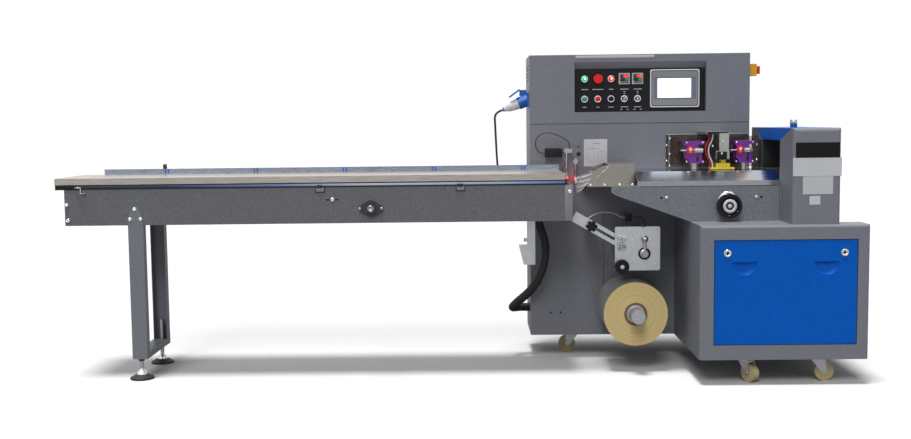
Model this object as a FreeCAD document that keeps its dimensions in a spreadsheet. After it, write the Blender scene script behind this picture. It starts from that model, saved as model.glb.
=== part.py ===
"""Horizontal flow wrapper: infeed conveyor, film unwind, sealing bed and end sealer on one cabinet.

Millimetres, +Z up, +X along the product path, operator side facing -Y. The origin is on the floor under
the middle of the machine. Every driving size is a cell of the sheet "Sizes" and is written once.
"""
import FreeCAD, Part
import Sketcher
import math
import os
import re
from FreeCAD import Placement, Rotation, Vector

SIZES = (
    # product line
    ("line_y", -55, "centre line of the product path"),
    ("sheet", 2.5, "thickness of folded sheet steel"),
    # base housing at the right, on castors
    ("front_y", -428.5, "front face of the base housing"),
    ("base_x", 967, "left face of the base housing"),
    ("base_length", 661, "length of the base housing"),
    ("base_height", 531, "height of the base housing"),
    ("base_edge", 10, "fold radius of the base housing's front edges"),
    ("castor_height", 103, "height of a castor, floor to mounting plate top"),
    ("door_margin_x", 57.5, "base housing's left face to the front panel"),
    ("door_margin_z", 61, "base housing's underside to the front panel"),
    ("door_length", 555, "length of the front panel"),
    ("door_height", 411, "height of the front panel"),
    ("door_thickness", 18, "thickness of the front panel"),
    ("door_joint", 3, "open joint round the front panel"),
    ("door_sunk", 2, "front panel's face behind the housing's face"),
    ("pull_pitch", 321, "distance between the two flush pulls"),
    ("pull_drop", 84, "front panel's top edge to the flush pulls"),
    ("pull_width", 98, "width of a flush pull"),
    ("pull_height", 52, "height of a flush pull"),
    ("pull_depth", 14, "depth of a flush pull"),
    ("latch_pitch", 456, "distance between the two quarter-turn locks"),
    ("latch_drop", 50, "front panel's top edge to the locks"),
    ("latch_radius", 13, "radius of a quarter-turn lock"),
    ("ledge_depth", 116, "depth of the ledge in front of the outfeed recess"),
    ("recess_floor", 74, "depth of the outfeed recess"),
    ("recess_depth", 512, "width of the outfeed recess across the machine"),
    ("slot_count", 6, "vent slots in the base housing's left side"),
    ("slot_pitch", 78, "pitch of the vent slots"),
    ("slot_length", 44, "length of a vent slot"),
    ("slot_height", 6, "height of a vent slot"),
    ("slot_rise", 135, "base housing's underside to the vent slots"),
    # back column
    ("cabinet_end", 1290, "right face of the column"),
    ("cabinet_length", 956, "length of the column"),
    ("cabinet_front", 128.5, "front face of the column"),
    ("cabinet_depth", 300, "depth of the column"),
    ("lower_height", 932, "height of the column's lower part"),
    ("upper_height", 298, "height of the column's upper part"),
    ("panel_x", 196, "column's left face to the control panel"),
    ("panel_rise", 50, "column seam to the control panel"),
    ("panel_length", 571, "length of the control panel"),
    ("panel_height", 216, "height of the recess of the control panel"),
    ("panel_depth", 28, "depth of the recess of the control panel"),
    ("panel_slope", 29, "height of the sloping top of the recess"),
    ("panel_plate", 3, "thickness of the control panel plate"),
    ("control_pitch", 57.7, "pitch of the controls"),
    ("control_x", 45.5, "control panel's left edge to the first control"),
    ("control_row", 57, "control panel's lower edge to the lower row"),
    ("row_pitch", 87, "distance between the two rows of controls"),
    ("button_radius", 14.5, "radius of a push button's ring"),
    ("stop_radius", 20, "radius of the emergency stop's mushroom"),
    ("dial_side", 48, "side of a temperature controller"),
    ("screen_x", 338, "control panel's left edge to the touch screen"),
    ("screen_rise", 24, "control panel's lower edge to the touch screen"),
    ("screen_length", 200, "length of the touch screen"),
    ("screen_height", 151, "height of the touch screen"),
    ("screen_border", 7, "width of the frame round the touch screen"),
    # infeed conveyor
    ("conveyor_width", 350, "width over the conveyor's beams"),
    ("beam_end", 488, "right end of the beams"),
    ("beam_length", 2079, "length of the beams"),
    ("beam_height", 147, "height of the beams"),
    ("beam_flange", 22, "flange of the beams"),
    ("tray_end", 457, "right end of the tray"),
    ("tray_length", 2085, "length of the tray"),
    ("tray_top", 836, "height of the tray above the floor"),
    ("tray_lip", 26, "folded lip of the tray"),
    ("tray_overhang", 4, "tray in front of the beams"),
    ("tray_slot", 14, "width of the pusher slot"),
    ("underframe_height", 47, "tray top to the top of the beams"),
    ("underframe_width", 18, "width of the bars under the tray"),
    ("guide_height", 24, "height of the product guide"),
    ("guide_start", 104, "left end of the tray to the product guide"),
    ("guide_inset", 34, "rear beam's face to the product guide"),
    ("leg_x", 258, "left end of the beams to the leg frame"),
    ("leg_width", 62, "width of a leg"),
    ("leg_depth", 38, "depth of a leg"),
    ("leg_bottom", 85, "underside of the legs above the floor"),
    ("leg_tongue", 78, "height of the leg's bolted tongue on the beam"),
    ("tie_height", 25, "height of the leg frame's cross member"),
    ("foot_radius", 49, "radius of a levelling foot"),
    ("foot_height", 20, "height of a levelling foot's pad"),
    ("stud_radius", 7, "radius of a levelling foot's threaded stud"),
    ("stud_top", 195, "top of the threaded stud above the floor"),
    # film unwind
    ("roll_x", 753, "axis of the film roll"),
    ("roll_z", 246, "height of the film roll's axis"),
    ("roll_radius", 133, "radius of the film roll"),
    ("film_width", 250, "width of the film"),
    ("core_bore", 38, "bore radius of the cardboard core"),
    ("core_wall", 10, "wall of the cardboard core"),
    ("chuck_radius", 29, "radius of the chuck that carries the core"),
    ("chuck_reach", 78, "chuck in front of the film roll"),
    ("chuck_back", 20, "chuck behind the film roll"),
    ("spindle_radius", 12, "radius of the fixed spindle"),
    ("running_gap", 0.05, "radial clearance of a running fit"),
    ("film_plate_x", 673, "left edge of the film plate"),
    ("film_plate_z", 422, "lower edge of the film plate"),
    ("film_plate_length", 188, "length of the film plate"),
    ("film_plate_height", 184, "height of the film plate"),
    ("film_plate_thickness", 10, "thickness of the film plate"),
    ("film_plate_reach", 247, "column's face to the film plate's back"),
    ("lever_x", 123, "film plate's left edge to the nip lever"),
    ("lever_z", 70, "film plate's lower edge to the nip lever"),
    ("lever_length", 63, "nip lever's axis to its ball"),
    ("lever_ball", 14, "radius of the nip lever's ball"),
    ("lever_bore", 8, "radius of the nip lever's shaft"),
    # bed and front panel
    ("box_x", 551, "left end of the forming box"),
    ("box_length", 200, "length of the forming box"),
    ("box_height", 90, "height of the forming box over its flanges"),
    ("box_width", 190, "width of the forming box"),
    ("box_sweep", 104, "run of the forming box's swept film edge"),
    ("bed_edge", 780, "height of the front panel's top above the floor"),
    ("bed_thickness", 4, "thickness of the bed plate"),
    ("bed_lip", 20, "height of the bed's folded lip"),
    ("bed_apron", 80, "run of the bed's sloping apron"),
    ("skirt_x", 645, "left end of the bed's front panel"),
    ("skirt_front", -230, "face of the bed's front panel"),
    ("wheel_x", 1118, "axis of the bed handwheel"),
    ("wheel_z", 698, "height of the bed handwheel's axis"),
    ("wheel_radius", 50, "radius of the bed handwheel"),
    ("wheel_width", 24, "width of the bed handwheel's rim"),
    ("wheel_bore", 8, "radius of the handwheel's shaft"),
    ("boss_length", 10, "length of the handwheel's bearing boss"),
    ("scale_radius", 44, "radius of the scale behind the handwheel"),
    ("scale_offset", 15, "handwheel's axis up to the scale's centre"),
    # fin-seal unit
    ("guard_x", 927, "left edge of the smoked guard"),
    ("guard_length", 356, "length of the smoked guard"),
    ("guard_rise", 6, "bed to the smoked guard"),
    ("guard_height", 144, "height of the smoked guard"),
    ("guard_thickness", 6, "thickness of the smoked guard"),
    ("window_margin", 24, "smoked guard's edge to the opening behind it"),
    ("window_depth", 60, "depth of the opening behind the smoked guard"),
    ("head_x", 1018, "middle of the left sealing head"),
    ("head_pitch", 209, "distance between the two sealing heads"),
    ("head_rise", 28, "bed to the sealing heads"),
    ("head_length", 82, "length of a sealing head"),
    ("head_height", 93, "height of a sealing head"),
    ("head_depth", 70, "depth of a sealing head"),
    ("head_front", -55, "front face of the sealing heads"),
    ("seal_roller_radius", 17.5, "radius of a sealing roller"),
    ("arm_radius", 16.5, "radius of a sealing head's arm"),
    ("lever_knob_radius", 15, "radius of a release lever's ball"),
    ("heater_x", 1083, "left end of the band heater's shoe"),
    ("heater_length", 101, "length of the band heater's shoe"),
    # film arm and rollers
    ("arm_angle", 30, "slope of the slotted film arm in degrees"),
    ("film_arm_length", 232, "length of the slotted film arm"),
    ("film_arm_width", 44, "width of the slotted film arm"),
    ("film_arm_thickness", 8, "thickness of the slotted film arm"),
    ("film_roller_radius", 17, "radius of a film roller"),
    # chain drive
    ("sprocket_radius", 45, "pitch radius of the chain sprockets"),
    ("chain_height", 12, "height of the pusher chain"),
    ("chain_width", 10, "width of the pusher chain"),
    ("chain_pitch", 38.1, "pitch of the pusher chain"),
    ("chain_drop", 14, "tray top to the chain's centre line"),
    ("chain_inset", 91, "beam's end to the end sprockets' axes"),
    ("shaft_radius", 9, "radius of the conveyor shafts"),
    ("bearing_x", 1256, "left end of the beams to the flange bearing"),
    ("bearing_rise", 60, "beam's underside to the flange bearing"),
    ("bearing_length", 117, "length of the flange bearing"),
    ("bearing_height", 59, "height of the flange bearing"),
    # power inlet, cords
    ("inlet_y", 101.5, "column's front to the power inlet"),
    ("inlet_rise", 108, "column seam to the power inlet's axis"),
    ("inlet_flange", 62, "side of the power inlet's flange"),
    ("inlet_tilt", 21, "tilt of the power inlet in degrees"),
    ("lead_diameter", 9.5, "diameter of the power lead"),
    ("hose_diameter", 38, "diameter of the conduit hose"),
    ("cable_diameter", 4, "diameter of a sensor cable"),
    ("sleeve_diameter", 6, "diameter of a sleeved heater lead"),
    # end sealer
    ("sealer_x", 1331, "left side of the end sealer"),
    ("sealer_length", 188, "length of the end sealer"),
    ("sealer_front", -400, "face of the end sealer's front cover"),
    ("sealer_back", 250, "back of the end sealer's rear cover"),
    ("sealer_top", 1010, "top of the end sealer above the floor"),
    ("tunnel_front", -211, "front side of the product tunnel"),
    ("tunnel_back", 70, "back side of the product tunnel"),
    ("tunnel_top", 960, "top of the product tunnel above the floor"),
    ("hood_bevel", 155, "run of the hood's bevelled ends"),
    ("cover_edge", 28, "fold radius of the front cover"),
    ("pin_radius", 13.5, "radius of the pin on the hood"),
    ("pin_height", 32, "height of the pin on the hood"),
    # castors
    ("castor_wheel", 37.5, "radius of a castor wheel"),
    ("castor_tread", 26, "width of a castor wheel"),
    ("castor_trail", 26, "swivel axis to wheel axis"),
    ("castor_axle", 5, "radius of a castor's axle"),
    ("castor_plate", 4, "thickness of a castor's mounting plate"),
    ("castor_cheek", 3, "thickness of a castor fork's cheeks"),
    ("castor_clear", 2, "castor wheel to cheek"),
)

DOC = FreeCAD.newDocument("FlowWrapper")
SHEET = DOC.addObject("Spreadsheet::Sheet", "Sizes")
for row, (alias, number, meaning) in enumerate(SIZES, start=1):
    SHEET.set(f"A{row}", meaning)
    SHEET.set(f"B{row}", str(number))
    SHEET.setAlias(f"B{row}", alias)
DOC.recompute()
ALIASES = {alias for alias, _, _ in SIZES}
# Left ends, which follow from the ends beside the forming box and the end sealer.
LEFT_ENDS = {
    "beam_x": "(beam_end - beam_length)",
    "tray_x": "(tray_end - tray_length)",
    "cabinet_x": "(cabinet_end - cabinet_length)",
}
PIECES = []

# Places worked out from the sizes, as expression text.
BASE_RIGHT = "(base_x + base_length)"
BASE_TOP = "(castor_height + base_height)"
CABINET_RIGHT = "(cabinet_x + cabinet_length)"
CABINET_BACK = "(cabinet_front + cabinet_depth)"
SEAM = "(castor_height + lower_height)"
CABINET_TOP = f"({SEAM} + upper_height)"
PANEL_LEFT = "(cabinet_x + panel_x)"
PANEL_BOTTOM = f"({SEAM} + panel_rise)"
PANEL_FACE = "(cabinet_front + panel_depth - panel_plate)"
CONVEYOR_FRONT = "(line_y - conveyor_width / 2)"
CONVEYOR_REAR = "(line_y + conveyor_width / 2)"
BEAM_TOP = "(tray_top - underframe_height)"
BEAM_BOTTOM = f"({BEAM_TOP} - beam_height)"
LEG_LEFT = "(beam_x + leg_x)"
ROLL_FRONT = "(line_y - film_width / 2)"
ROLL_BACK = "(line_y + film_width / 2)"
SEALER_RIGHT = "(sealer_x + sealer_length)"
FILM_PLATE_BACK = "(cabinet_front - film_plate_reach)"
DOOR_LEFT = "(base_x + door_margin_x)"
DOOR_BOTTOM = "(castor_height + door_margin_z)"
DOOR_TOP = f"({DOOR_BOTTOM} + door_height)"
DOOR_FACE = "(front_y + door_sunk)"

BED_LEVEL = "tray_top"
GUARD_BOTTOM = f"({BED_LEVEL} + guard_rise)"
HEAD_BOTTOM = f"({BED_LEVEL} + head_rise)"
STAR_X = "(film_plate_x - 97)"
STAR_Z = "(film_plate_z + 187)"
BEARING_X = "(beam_x + bearing_x)"
BEARING_Z = f"({BEAM_BOTTOM} + bearing_rise)"
INLET_Y = "(cabinet_front + inlet_y)"
INLET_Z = f"({SEAM} + inlet_rise)"

ALONG_X = Rotation(Vector(0, 1, 0), 90)
ALONG_Y = Rotation(Vector(1, 0, 0), -90)


def ex(text):
    """Expression text with left ends worked out and every size written as a cell of the sheet."""
    text = re.sub(r"[a-z]\w*", lambda m: LEFT_ENDS.get(m.group(), m.group()), str(text))
    return re.sub(r"[a-z]\w*", lambda m: "Sizes." + m.group() if m.group() in ALIASES else m.group(), str(text))


def value(text):
    """The number that an expression gives now."""
    return float(SHEET.evalExpression(ex(text)))


def bind(item, **texts):
    for name, text in texts.items():
        item.setExpression(name, ex(text))


def place(item, at, turn=None):
    if turn is not None:
        item.Placement = Placement(Vector(), turn)
    for axis, text in zip("xyz", at):
        item.setExpression(f"Placement.Base.{axis}", ex(text))
    return item


def block(name, at, size):
    """A box with its lowest corner at a point."""
    item = DOC.addObject("Part::Box", name)
    bind(item, Length=size[0], Width=size[1], Height=size[2])
    return place(item, at)


def rod(name, at, radius, length, turn=None):
    """A cylinder that starts at a point and runs along +Z, or +X or +Y with a turn."""
    item = DOC.addObject("Part::Cylinder", name)
    bind(item, Radius=radius, Height=length)
    return place(item, at, turn)


def taper(name, at, start, end, length, turn=None):
    """A cone frustum that starts at a point with one radius and ends with another."""
    item = DOC.addObject("Part::Cone", name)
    bind(item, Radius1=start, Radius2=end, Height=length)
    return place(item, at, turn)


def ball(name, at, radius):
    item = DOC.addObject("Part::Sphere", name)
    bind(item, Radius=radius)
    return place(item, at)


def cut(name, base, *tools):
    """A body with tools taken out of it."""
    for number, tool in enumerate(tools):
        step = DOC.addObject("Part::Cut", name if number == len(tools) - 1 else f"{name}_step{number}")
        step.Base = base
        step.Tool = tool
        base = step
    return base


def fuse(name, *parts):
    item = DOC.addObject("Part::MultiFuse", name)
    item.Shapes = list(parts)
    item.Refine = True
    return item


def group(name, *parts):
    """Like pieces on one body, as solids that don't touch."""
    item = DOC.addObject("Part::Compound", name)
    item.Links = list(parts)
    return item


def keep(name, item):
    """Names a finished sub-part; its label is its file's name."""
    item.Label = name
    PIECES.append(item)
    return item


def padded(name, plane, outline, start, length):
    """A body padded from a closed outline. Planes: XY upwards, XZ towards +Y, YZ towards +X."""
    body = DOC.addObject("PartDesign::Body", name)
    sketch = body.newObject("Sketcher::SketchObject", name + "_outline")
    origin_plane = next(f for f in body.Origin.OriginFeatures if f.Role == plane + "_Plane")
    sketch.AttachmentSupport = [(origin_plane, "")]
    sketch.MapMode = "FlatFace"
    bind(sketch, **{"AttachmentOffset.Base.z": f"-({start})" if plane == "XZ" else start})
    corners = [Vector(value(a), value(b), 0) for a, b in outline]
    count = len(corners)
    for number in range(count):
        sketch.addGeometry(Part.LineSegment(corners[number], corners[(number + 1) % count]))
    for number in range(count):
        sketch.addConstraint(Sketcher.Constraint("Coincident", number, 2, (number + 1) % count, 1))
    for number, texts in enumerate(outline):
        for kind, text in zip(("DistanceX", "DistanceY"), texts):
            index = sketch.addConstraint(Sketcher.Constraint(kind, -1, 1, number, 1, value(text)))
            sketch.setExpression(f"Constraints[{index}]", ex(text))
    pad = body.newObject("PartDesign::Pad", name + "_pad")
    pad.Profile = sketch
    pad.Reversed = plane == "XZ"
    bind(pad, Length=length)
    DOC.recompute()
    return body


def rounded(body, radius, wanted):
    """Fillets the edges of a body whose middle point passes a test."""
    DOC.recompute()
    tip = body.Tip
    names = []
    for number, edge in enumerate(tip.Shape.Edges, start=1):
        middle = edge.valueAt((edge.FirstParameter + edge.LastParameter) / 2)
        if wanted(edge, middle):
            names.append(f"Edge{number}")
    fillet = body.newObject("PartDesign::Fillet", body.Name + "_fillet")
    fillet.Base = (tip, names)
    bind(fillet, Radius=radius)
    DOC.recompute()
    return body


def near(number, text):
    return abs(number - value(text)) < 0.01


def straight(edge, direction):
    start, end = edge.Vertexes[0].Point, edge.Vertexes[-1].Point
    return len(edge.Vertexes) == 2 and (end - start).cross(direction).Length < 0.01


LEAD_GLAND = ("cabinet_x - 129", CONVEYOR_REAR, f"{BEAM_BOTTOM} + 74")
INLET_REACH = 124
HOSE_TOP = ("beam_x + beam_length - 124", "line_y + 85", f"{BEAM_BOTTOM} - 8")


# ---------------------------------------------------------------- cords


def spot(at, offset=(0, 0, 0)):
    """The point at a place, moved by an offset."""
    return Vector(*(value(text) for text in at)) + Vector(*offset)


def cord(name, points, diameter):
    """Round cord along straight runs joined by arcs; each arc takes 0.45 of its shorter run."""
    edges, radii, here = [], [], points[0]
    for before, corner, after in zip(points, points[1:], points[2:]):
        into, out = corner - before, after - corner
        half_turn = into.getAngle(out) / 2
        setback = 0.45 * min(into.Length, out.Length)
        into.normalize()
        out.normalize()
        radius = setback / math.tan(half_turn)
        start, end = corner - into * setback, corner + out * setback
        inward = (out - into).normalize()
        crown = corner + inward * (radius / math.cos(half_turn) - radius)
        edges += [Part.LineSegment(here, start).toShape(), Part.Arc(start, crown, end).toShape()]
        radii.append(radius)
        here = end
    edges.append(Part.LineSegment(here, points[-1]).toShape())
    path = Part.Wire(edges)
    section = Part.Wire(Part.Circle(points[0], points[1] - points[0], diameter / 2).toShape())
    tube = path.makePipeShell([section], True, False)
    share = tube.Volume / (math.pi * diameter ** 2 / 4 * path.Length)
    print(f"{name}: length {path.Length:.0f}, arcs {[round(r) for r in radii]}, volume share {share:.3f}")
    item = DOC.addObject("Part::Feature", name)
    item.Shape = tube
    return item


def power_lead():
    """Lead from the connector's tip down behind the tray to the gland on the rear beam."""
    tilt = math.radians(value("inlet_tilt"))
    along = Vector(-math.cos(tilt), 0, -math.sin(tilt))
    tip = spot(("cabinet_x - 2", INLET_Y, INLET_Z)) + along * INLET_REACH
    top = [tip, tip + along * 23] + [tip + Vector(*offset) for offset in (
        (-33, 0, -28), (-31, 0, -60), (-29, 0, -111), (-26, 0, -181), (-22, -1, -246))]
    end = spot(LEAD_GLAND, (0, 10, 0))
    low = [end + Vector(*offset) for offset in ((-6, 96, 82), (-1, 74, 36), (0, 42, 0), (0, 0, 0))]
    keep("power_lead", cord("lead_tube", top + low, value("lead_diameter")))


def conduit_hose():
    """Corrugated hose from the conveyor's underside, folded round into the column's left side."""
    top = spot(HOSE_TOP)
    wall = spot(("cabinet_x", "cabinet_front + 87", "castor_height + 108"))
    upper = [top + Vector(*offset) for offset in (
        (0, 0, 0), (0, 0, -28), (14, 1, -62), (29, 3, -112), (29, 7, -172), (17, 16, -228), (-6, 29, -284), (-40, 54, -333))]
    lower = [wall + Vector(*offset) for offset in (
        (-50, -94, 46), (-74, -62, 17), (-80, -30, 3), (-64, -5, 0), (-34, 0, 0), (0, 0, 0))]
    keep("conduit_hose", cord("hose_tube", upper + lower, value("hose_diameter")))


def sensor_cables():
    """Amplifier cables, a wide loop to the clamp and a short one to the light, and the web sensor's two cables."""
    size = value("cable_diameter")
    face = spot(("cabinet_x + 65", "cabinet_front - 16", "tray_top + 72"))
    clamp = spot(("cabinet_x + 65 + 106", "cabinet_front - 34", "tray_top + 92"))
    loop = [face + Vector(*offset) for offset in (
        (0, 0, 0), (-22, 0, 0), (-41, -8, 24), (-44, -14, 56), (-22, -18, 84), (14, -20, 92), (52, -21, 80))]
    loop += [clamp + Vector(*offset) for offset in ((-12, -1, 38), (0, 0, 20), (0, 0, 0))]
    right = spot(("cabinet_x + 65 + 72", "cabinet_front - 16", "tray_top + 76"))
    light = spot(("cabinet_x + 65 + 75", "cabinet_front - 34", "tray_top - 12"))
    drop = [right + Vector(*offset) for offset in ((0, 0, 0), (15, 0, 0), (24, -5, -14), (23, -7, -32))]
    drop += [light + Vector(*offset) for offset in ((9, 3, 36), (0, 0, 18), (0, 0, 0))]
    web = spot(("film_plate_x + 78", f"{FILM_PLATE_BACK} + 57", "film_plate_z + 217"))
    plate = spot(("film_plate_x + 124", f"{FILM_PLATE_BACK} - film_plate_thickness / 2", "film_plate_z + 184"))
    wire = [web + Vector(*offset) for offset in ((0, 0, 0), (17, 0, 0), (34, -20, 8))]
    wire += [plate + Vector(*offset) for offset in ((-3, 14, 28), (0, 0, 16), (0, 0, 0))]
    side = spot(("film_plate_x + 52", f"{FILM_PLATE_BACK} + 57", "film_plate_z + 217"))
    arm = spot((f"{STAR_X} - 28", f"{FILM_PLATE_BACK} + film_arm_thickness", f"{STAR_Z} + 14"))
    swing = [side + Vector(*offset) for offset in (
        (0, 0, 0), (-18, 0, 0), (-46, 0, 18), (-82, -1, 24), (-120, -5, 20))]
    swing += [arm + Vector(*offset) for offset in ((28, 36, 22), (8, 26, 6), (0, 16, 0), (0, 0, 0))]
    runs = (("loop_cable", loop), ("light_cable", drop), ("web_cable", wire), ("arm_cable", swing))
    keep("sensor_cables", group("cables", *[cord(name, points, size) for name, points in runs]))


def heater_leads():
    """Two sleeved leads from the heater bracket's top to the band heater's shoe."""
    size = value("sleeve_diameter")
    leads = []
    for name, shift_x, shift_y in (("white", 0, -6), ("red", -11, 10)):
        top = spot(("heater_x + 12", "head_front + 16", f"{GUARD_BOTTOM} + guard_height"), (shift_x, shift_y, 0))
        foot = spot(("heater_x + 11", "head_front + 14", f"{BED_LEVEL} + 10"), (0.6 * shift_x, shift_y, 0))
        points = [top + Vector(*offset) for offset in ((0, 0, 0), (0, 0, -22), (-20, -7, -52))]
        points += [foot + Vector(*offset) for offset in ((-18, -5, 50), (0, 0, 22), (0, 0, 0))]
        leads.append(cord(f"lead_{name}", points, size))
    keep("heater_leads", group("leads", *leads))


# ---------------------------------------------------------------- base housing


def base_housing():
    """Closed box with a door recess, an outfeed recess at the right and vent slots in its left side."""
    outline = (
        ("base_x", "front_y"), (BASE_RIGHT, "front_y"), (BASE_RIGHT, CABINET_BACK),
        (CABINET_RIGHT, CABINET_BACK), (CABINET_RIGHT, "cabinet_front"), ("base_x", "cabinet_front"),
    )
    body = padded("base_shell", "XY", outline, "castor_height", "base_height")
    rounded(body, "base_edge", lambda edge, middle: near(middle.y, "front_y") and (
        near(middle.z, BASE_TOP) or straight(edge, Vector(0, 0, 1))))
    door_hole = block(
        "door_recess",
        (f"{DOOR_LEFT} - door_joint", "front_y - 1", f"{DOOR_BOTTOM} - door_joint"),
        ("door_length + 2 * door_joint", "door_thickness + door_sunk + 1", "door_height + 2 * door_joint"))
    outfeed = block(
        "outfeed_recess",
        (SEALER_RIGHT, "front_y + ledge_depth", f"{BASE_TOP} - recess_floor"),
        (f"{BASE_RIGHT} - {SEALER_RIGHT} + 1", "recess_depth", "recess_floor + 1"))
    slots = []
    for number in range(int(value("slot_count"))):
        slots.append(block(
            f"vent_slot{number}",
            ("base_x - 1", f"front_y + 60 + {number} * slot_pitch", "castor_height + slot_rise"),
            ("sheet + 1", "slot_length", "slot_height")))
    keep("base_housing", cut("base_cut", body, door_hole, outfeed, group("vent_slots", *slots)))


def base_door():
    """Lift-off front panel with two half-round flush pulls, each deepest under its straight top edge."""
    plate = block("door_plate", (DOOR_LEFT, DOOR_FACE, DOOR_BOTTOM), ("door_length", "door_thickness", "door_height"))
    scoops = []
    for side, name in ((-1, "left"), (1, "right")):
        centre_x = f"{DOOR_LEFT} + door_length / 2 + {side} * pull_pitch / 2"
        bowl = DOC.addObject("Part::Ellipsoid", f"pull_bowl_{name}")
        bind(bowl, Radius2="pull_width / 2", Radius3="pull_depth", Radius1="pull_height")
        place(bowl, (centre_x, DOOR_FACE, f"{DOOR_TOP} - pull_drop"))
        half = block(
            f"pull_half_{name}",
            (f"{centre_x} - pull_width", f"{DOOR_FACE} - pull_depth", f"{DOOR_TOP} - pull_drop - 2 * pull_height"),
            ("2 * pull_width", "3 * pull_depth", "2 * pull_height"))
        scoop = DOC.addObject("Part::Common", f"pull_scoop_{name}")
        scoop.Base = bowl
        scoop.Tool = half
        scoops.append(scoop)
    keep("base_door", cut("door_cut", plate, *scoops))


def door_latches():
    """Two quarter-turn locks, each a slotted disc on the front panel."""
    discs = []
    for side, name in ((-1, "left"), (1, "right")):
        centre_x = f"{DOOR_LEFT} + door_length / 2 + {side} * latch_pitch / 2"
        centre_z = f"{DOOR_TOP} - latch_drop"
        disc = rod(f"latch_disc_{name}", (centre_x, "front_y", centre_z), "latch_radius", "door_sunk", ALONG_Y)
        slit = block(
            f"latch_slit_{name}", (f"{centre_x} - latch_radius / 2", "front_y - 1", f"{centre_z} - 1.5"),
            ("latch_radius", "door_sunk / 2 + 1", "3"))
        discs.append(cut(f"latch_cut_{name}", disc, slit))
    keep("door_latches", group("latches", *discs))


# ---------------------------------------------------------------- back column


def cabinet_lower():
    """Lower part of the column with the opening behind the smoked guard."""
    shell = block(
        "column_lower", ("cabinet_x", "cabinet_front", "castor_height"),
        ("cabinet_length", "cabinet_depth", "lower_height"))
    window = block(
        "seal_window", ("guard_x + window_margin", "cabinet_front - 1", f"{GUARD_BOTTOM} + window_margin / 3"),
        ("guard_length - 2 * window_margin", "window_depth + 1", "guard_height - window_margin"))
    keep("cabinet_lower", cut("lower_cut", shell, window))


def cabinet_upper():
    """Upper part of the column with the recess of the control panel, whose top face slopes."""
    shell = block(
        "column_upper", ("cabinet_x", "cabinet_front", SEAM), ("cabinet_length", "cabinet_depth", "upper_height"))
    inner = "(cabinet_front + panel_depth)"
    outline = (
        ("cabinet_front - 1", PANEL_BOTTOM), (inner, PANEL_BOTTOM),
        (inner, f"{PANEL_BOTTOM} + panel_height - panel_slope"),
        ("cabinet_front", f"{PANEL_BOTTOM} + panel_height"), ("cabinet_front - 1", f"{PANEL_BOTTOM} + panel_height"),
    )
    recess = padded("panel_recess", "YZ", outline, PANEL_LEFT, "panel_length")
    louvres = [block(
        f"louvre{n}", ("cabinet_x - 1", "cabinet_front + 40", f"{CABINET_TOP} - 110 + {n} * 16"), ("4", "180", "6"))
        for n in range(5)]
    keep("cabinet_upper", cut("upper_cut", shell, recess, group("louvres", *louvres)))


def control_panel():
    keep("control_panel", block(
        "panel_sheet", (PANEL_LEFT, PANEL_FACE, PANEL_BOTTOM),
        ("panel_length", "panel_plate", "panel_height - panel_slope")))


def control_place(column, row):
    """Middle of a control on the panel's face: columns from the left, rows from below."""
    return (f"{PANEL_LEFT} + control_x + {column} * control_pitch",
            f"{PANEL_BOTTOM} + control_row + {row} * row_pitch")


def stud_control(name, column, row, radius, height, head_radius, head_height):
    """A round control: a bezel ring on the panel and a head that stands on it."""
    x, z = control_place(column, row)
    ring = rod(name + "_ring", (x, f"{PANEL_FACE} - {height}", z), radius, height, ALONG_Y)
    head = rod(
        name + "_head", (x, f"{PANEL_FACE} - {height} - {head_height}", z), head_radius,
        f"{head_height} + {height} / 2", ALONG_Y)
    return fuse(name, ring, head)


def panel_controls():
    """Lamps at both sides of the emergency stop, buttons under them, selectors under the controllers."""
    operators = [stud_control(f"lamp{c}", c, 1, "button_radius", "4", "button_radius - 2.5", "6") for c in (0, 2)]
    keep("emergency_stop", stud_control("stop", 1, 1, "button_radius", "12", "stop_radius", "12"))
    operators += [stud_control(f"button{c}", c, 0, "button_radius", "4", "button_radius - 3.5", "2") for c in (0, 1, 2)]
    for column in (3, 4):
        x, z = control_place(column, 0)
        ring = stud_control(f"selector{column}", column, 0, "button_radius", "4", "button_radius - 3.5", "2")
        grip = block(
            f"selector_grip{column}", (f"{x} - 3", f"{PANEL_FACE} - 16", f"{z} - button_radius + 4"),
            ("6", "12", "2 * button_radius - 8"))
        operators.append(fuse(f"selector_body{column}", ring, grip))
    keep("panel_buttons", group("operators", *operators))
    dials = []
    for column in (3, 4):
        x, z = control_place(column, 1)
        frame = block(
            f"dial_frame{column}", (f"{x} - dial_side / 2", f"{PANEL_FACE} - 6", f"{z} - dial_side / 2"),
            ("dial_side", "6", "dial_side"))
        window = block(
            f"dial_window{column}", (f"{x} - dial_side / 2 + 5", f"{PANEL_FACE} - 7", f"{z} - dial_side / 2 + 12"),
            ("dial_side - 10", "3", "dial_side - 17"))
        dials.append(cut(f"dial{column}", frame, window))
    keep("temperature_controllers", group("dials", *dials))


def touch_screen():
    """Screen body with a sunk display on a thin frame."""
    left = f"{PANEL_LEFT} + screen_x"
    bottom = f"{PANEL_BOTTOM} + screen_rise"
    frame = block(
        "screen_frame", (f"{left} - screen_border", f"{PANEL_FACE} - 3", f"{bottom} - screen_border"),
        ("screen_length + 2 * screen_border", "3", "screen_height + 2 * screen_border"))
    housing = block("screen_body", (left, f"{PANEL_FACE} - 10", bottom), ("screen_length", "9", "screen_height"))
    display = block(
        "screen_display", (f"{left} + 22", f"{PANEL_FACE} - 11", f"{bottom} + 30"),
        ("screen_length - 44", "3", "screen_height - 62"))
    keep("touch_screen", cut("screen_cut", fuse("screen_join", frame, housing), display))


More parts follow.
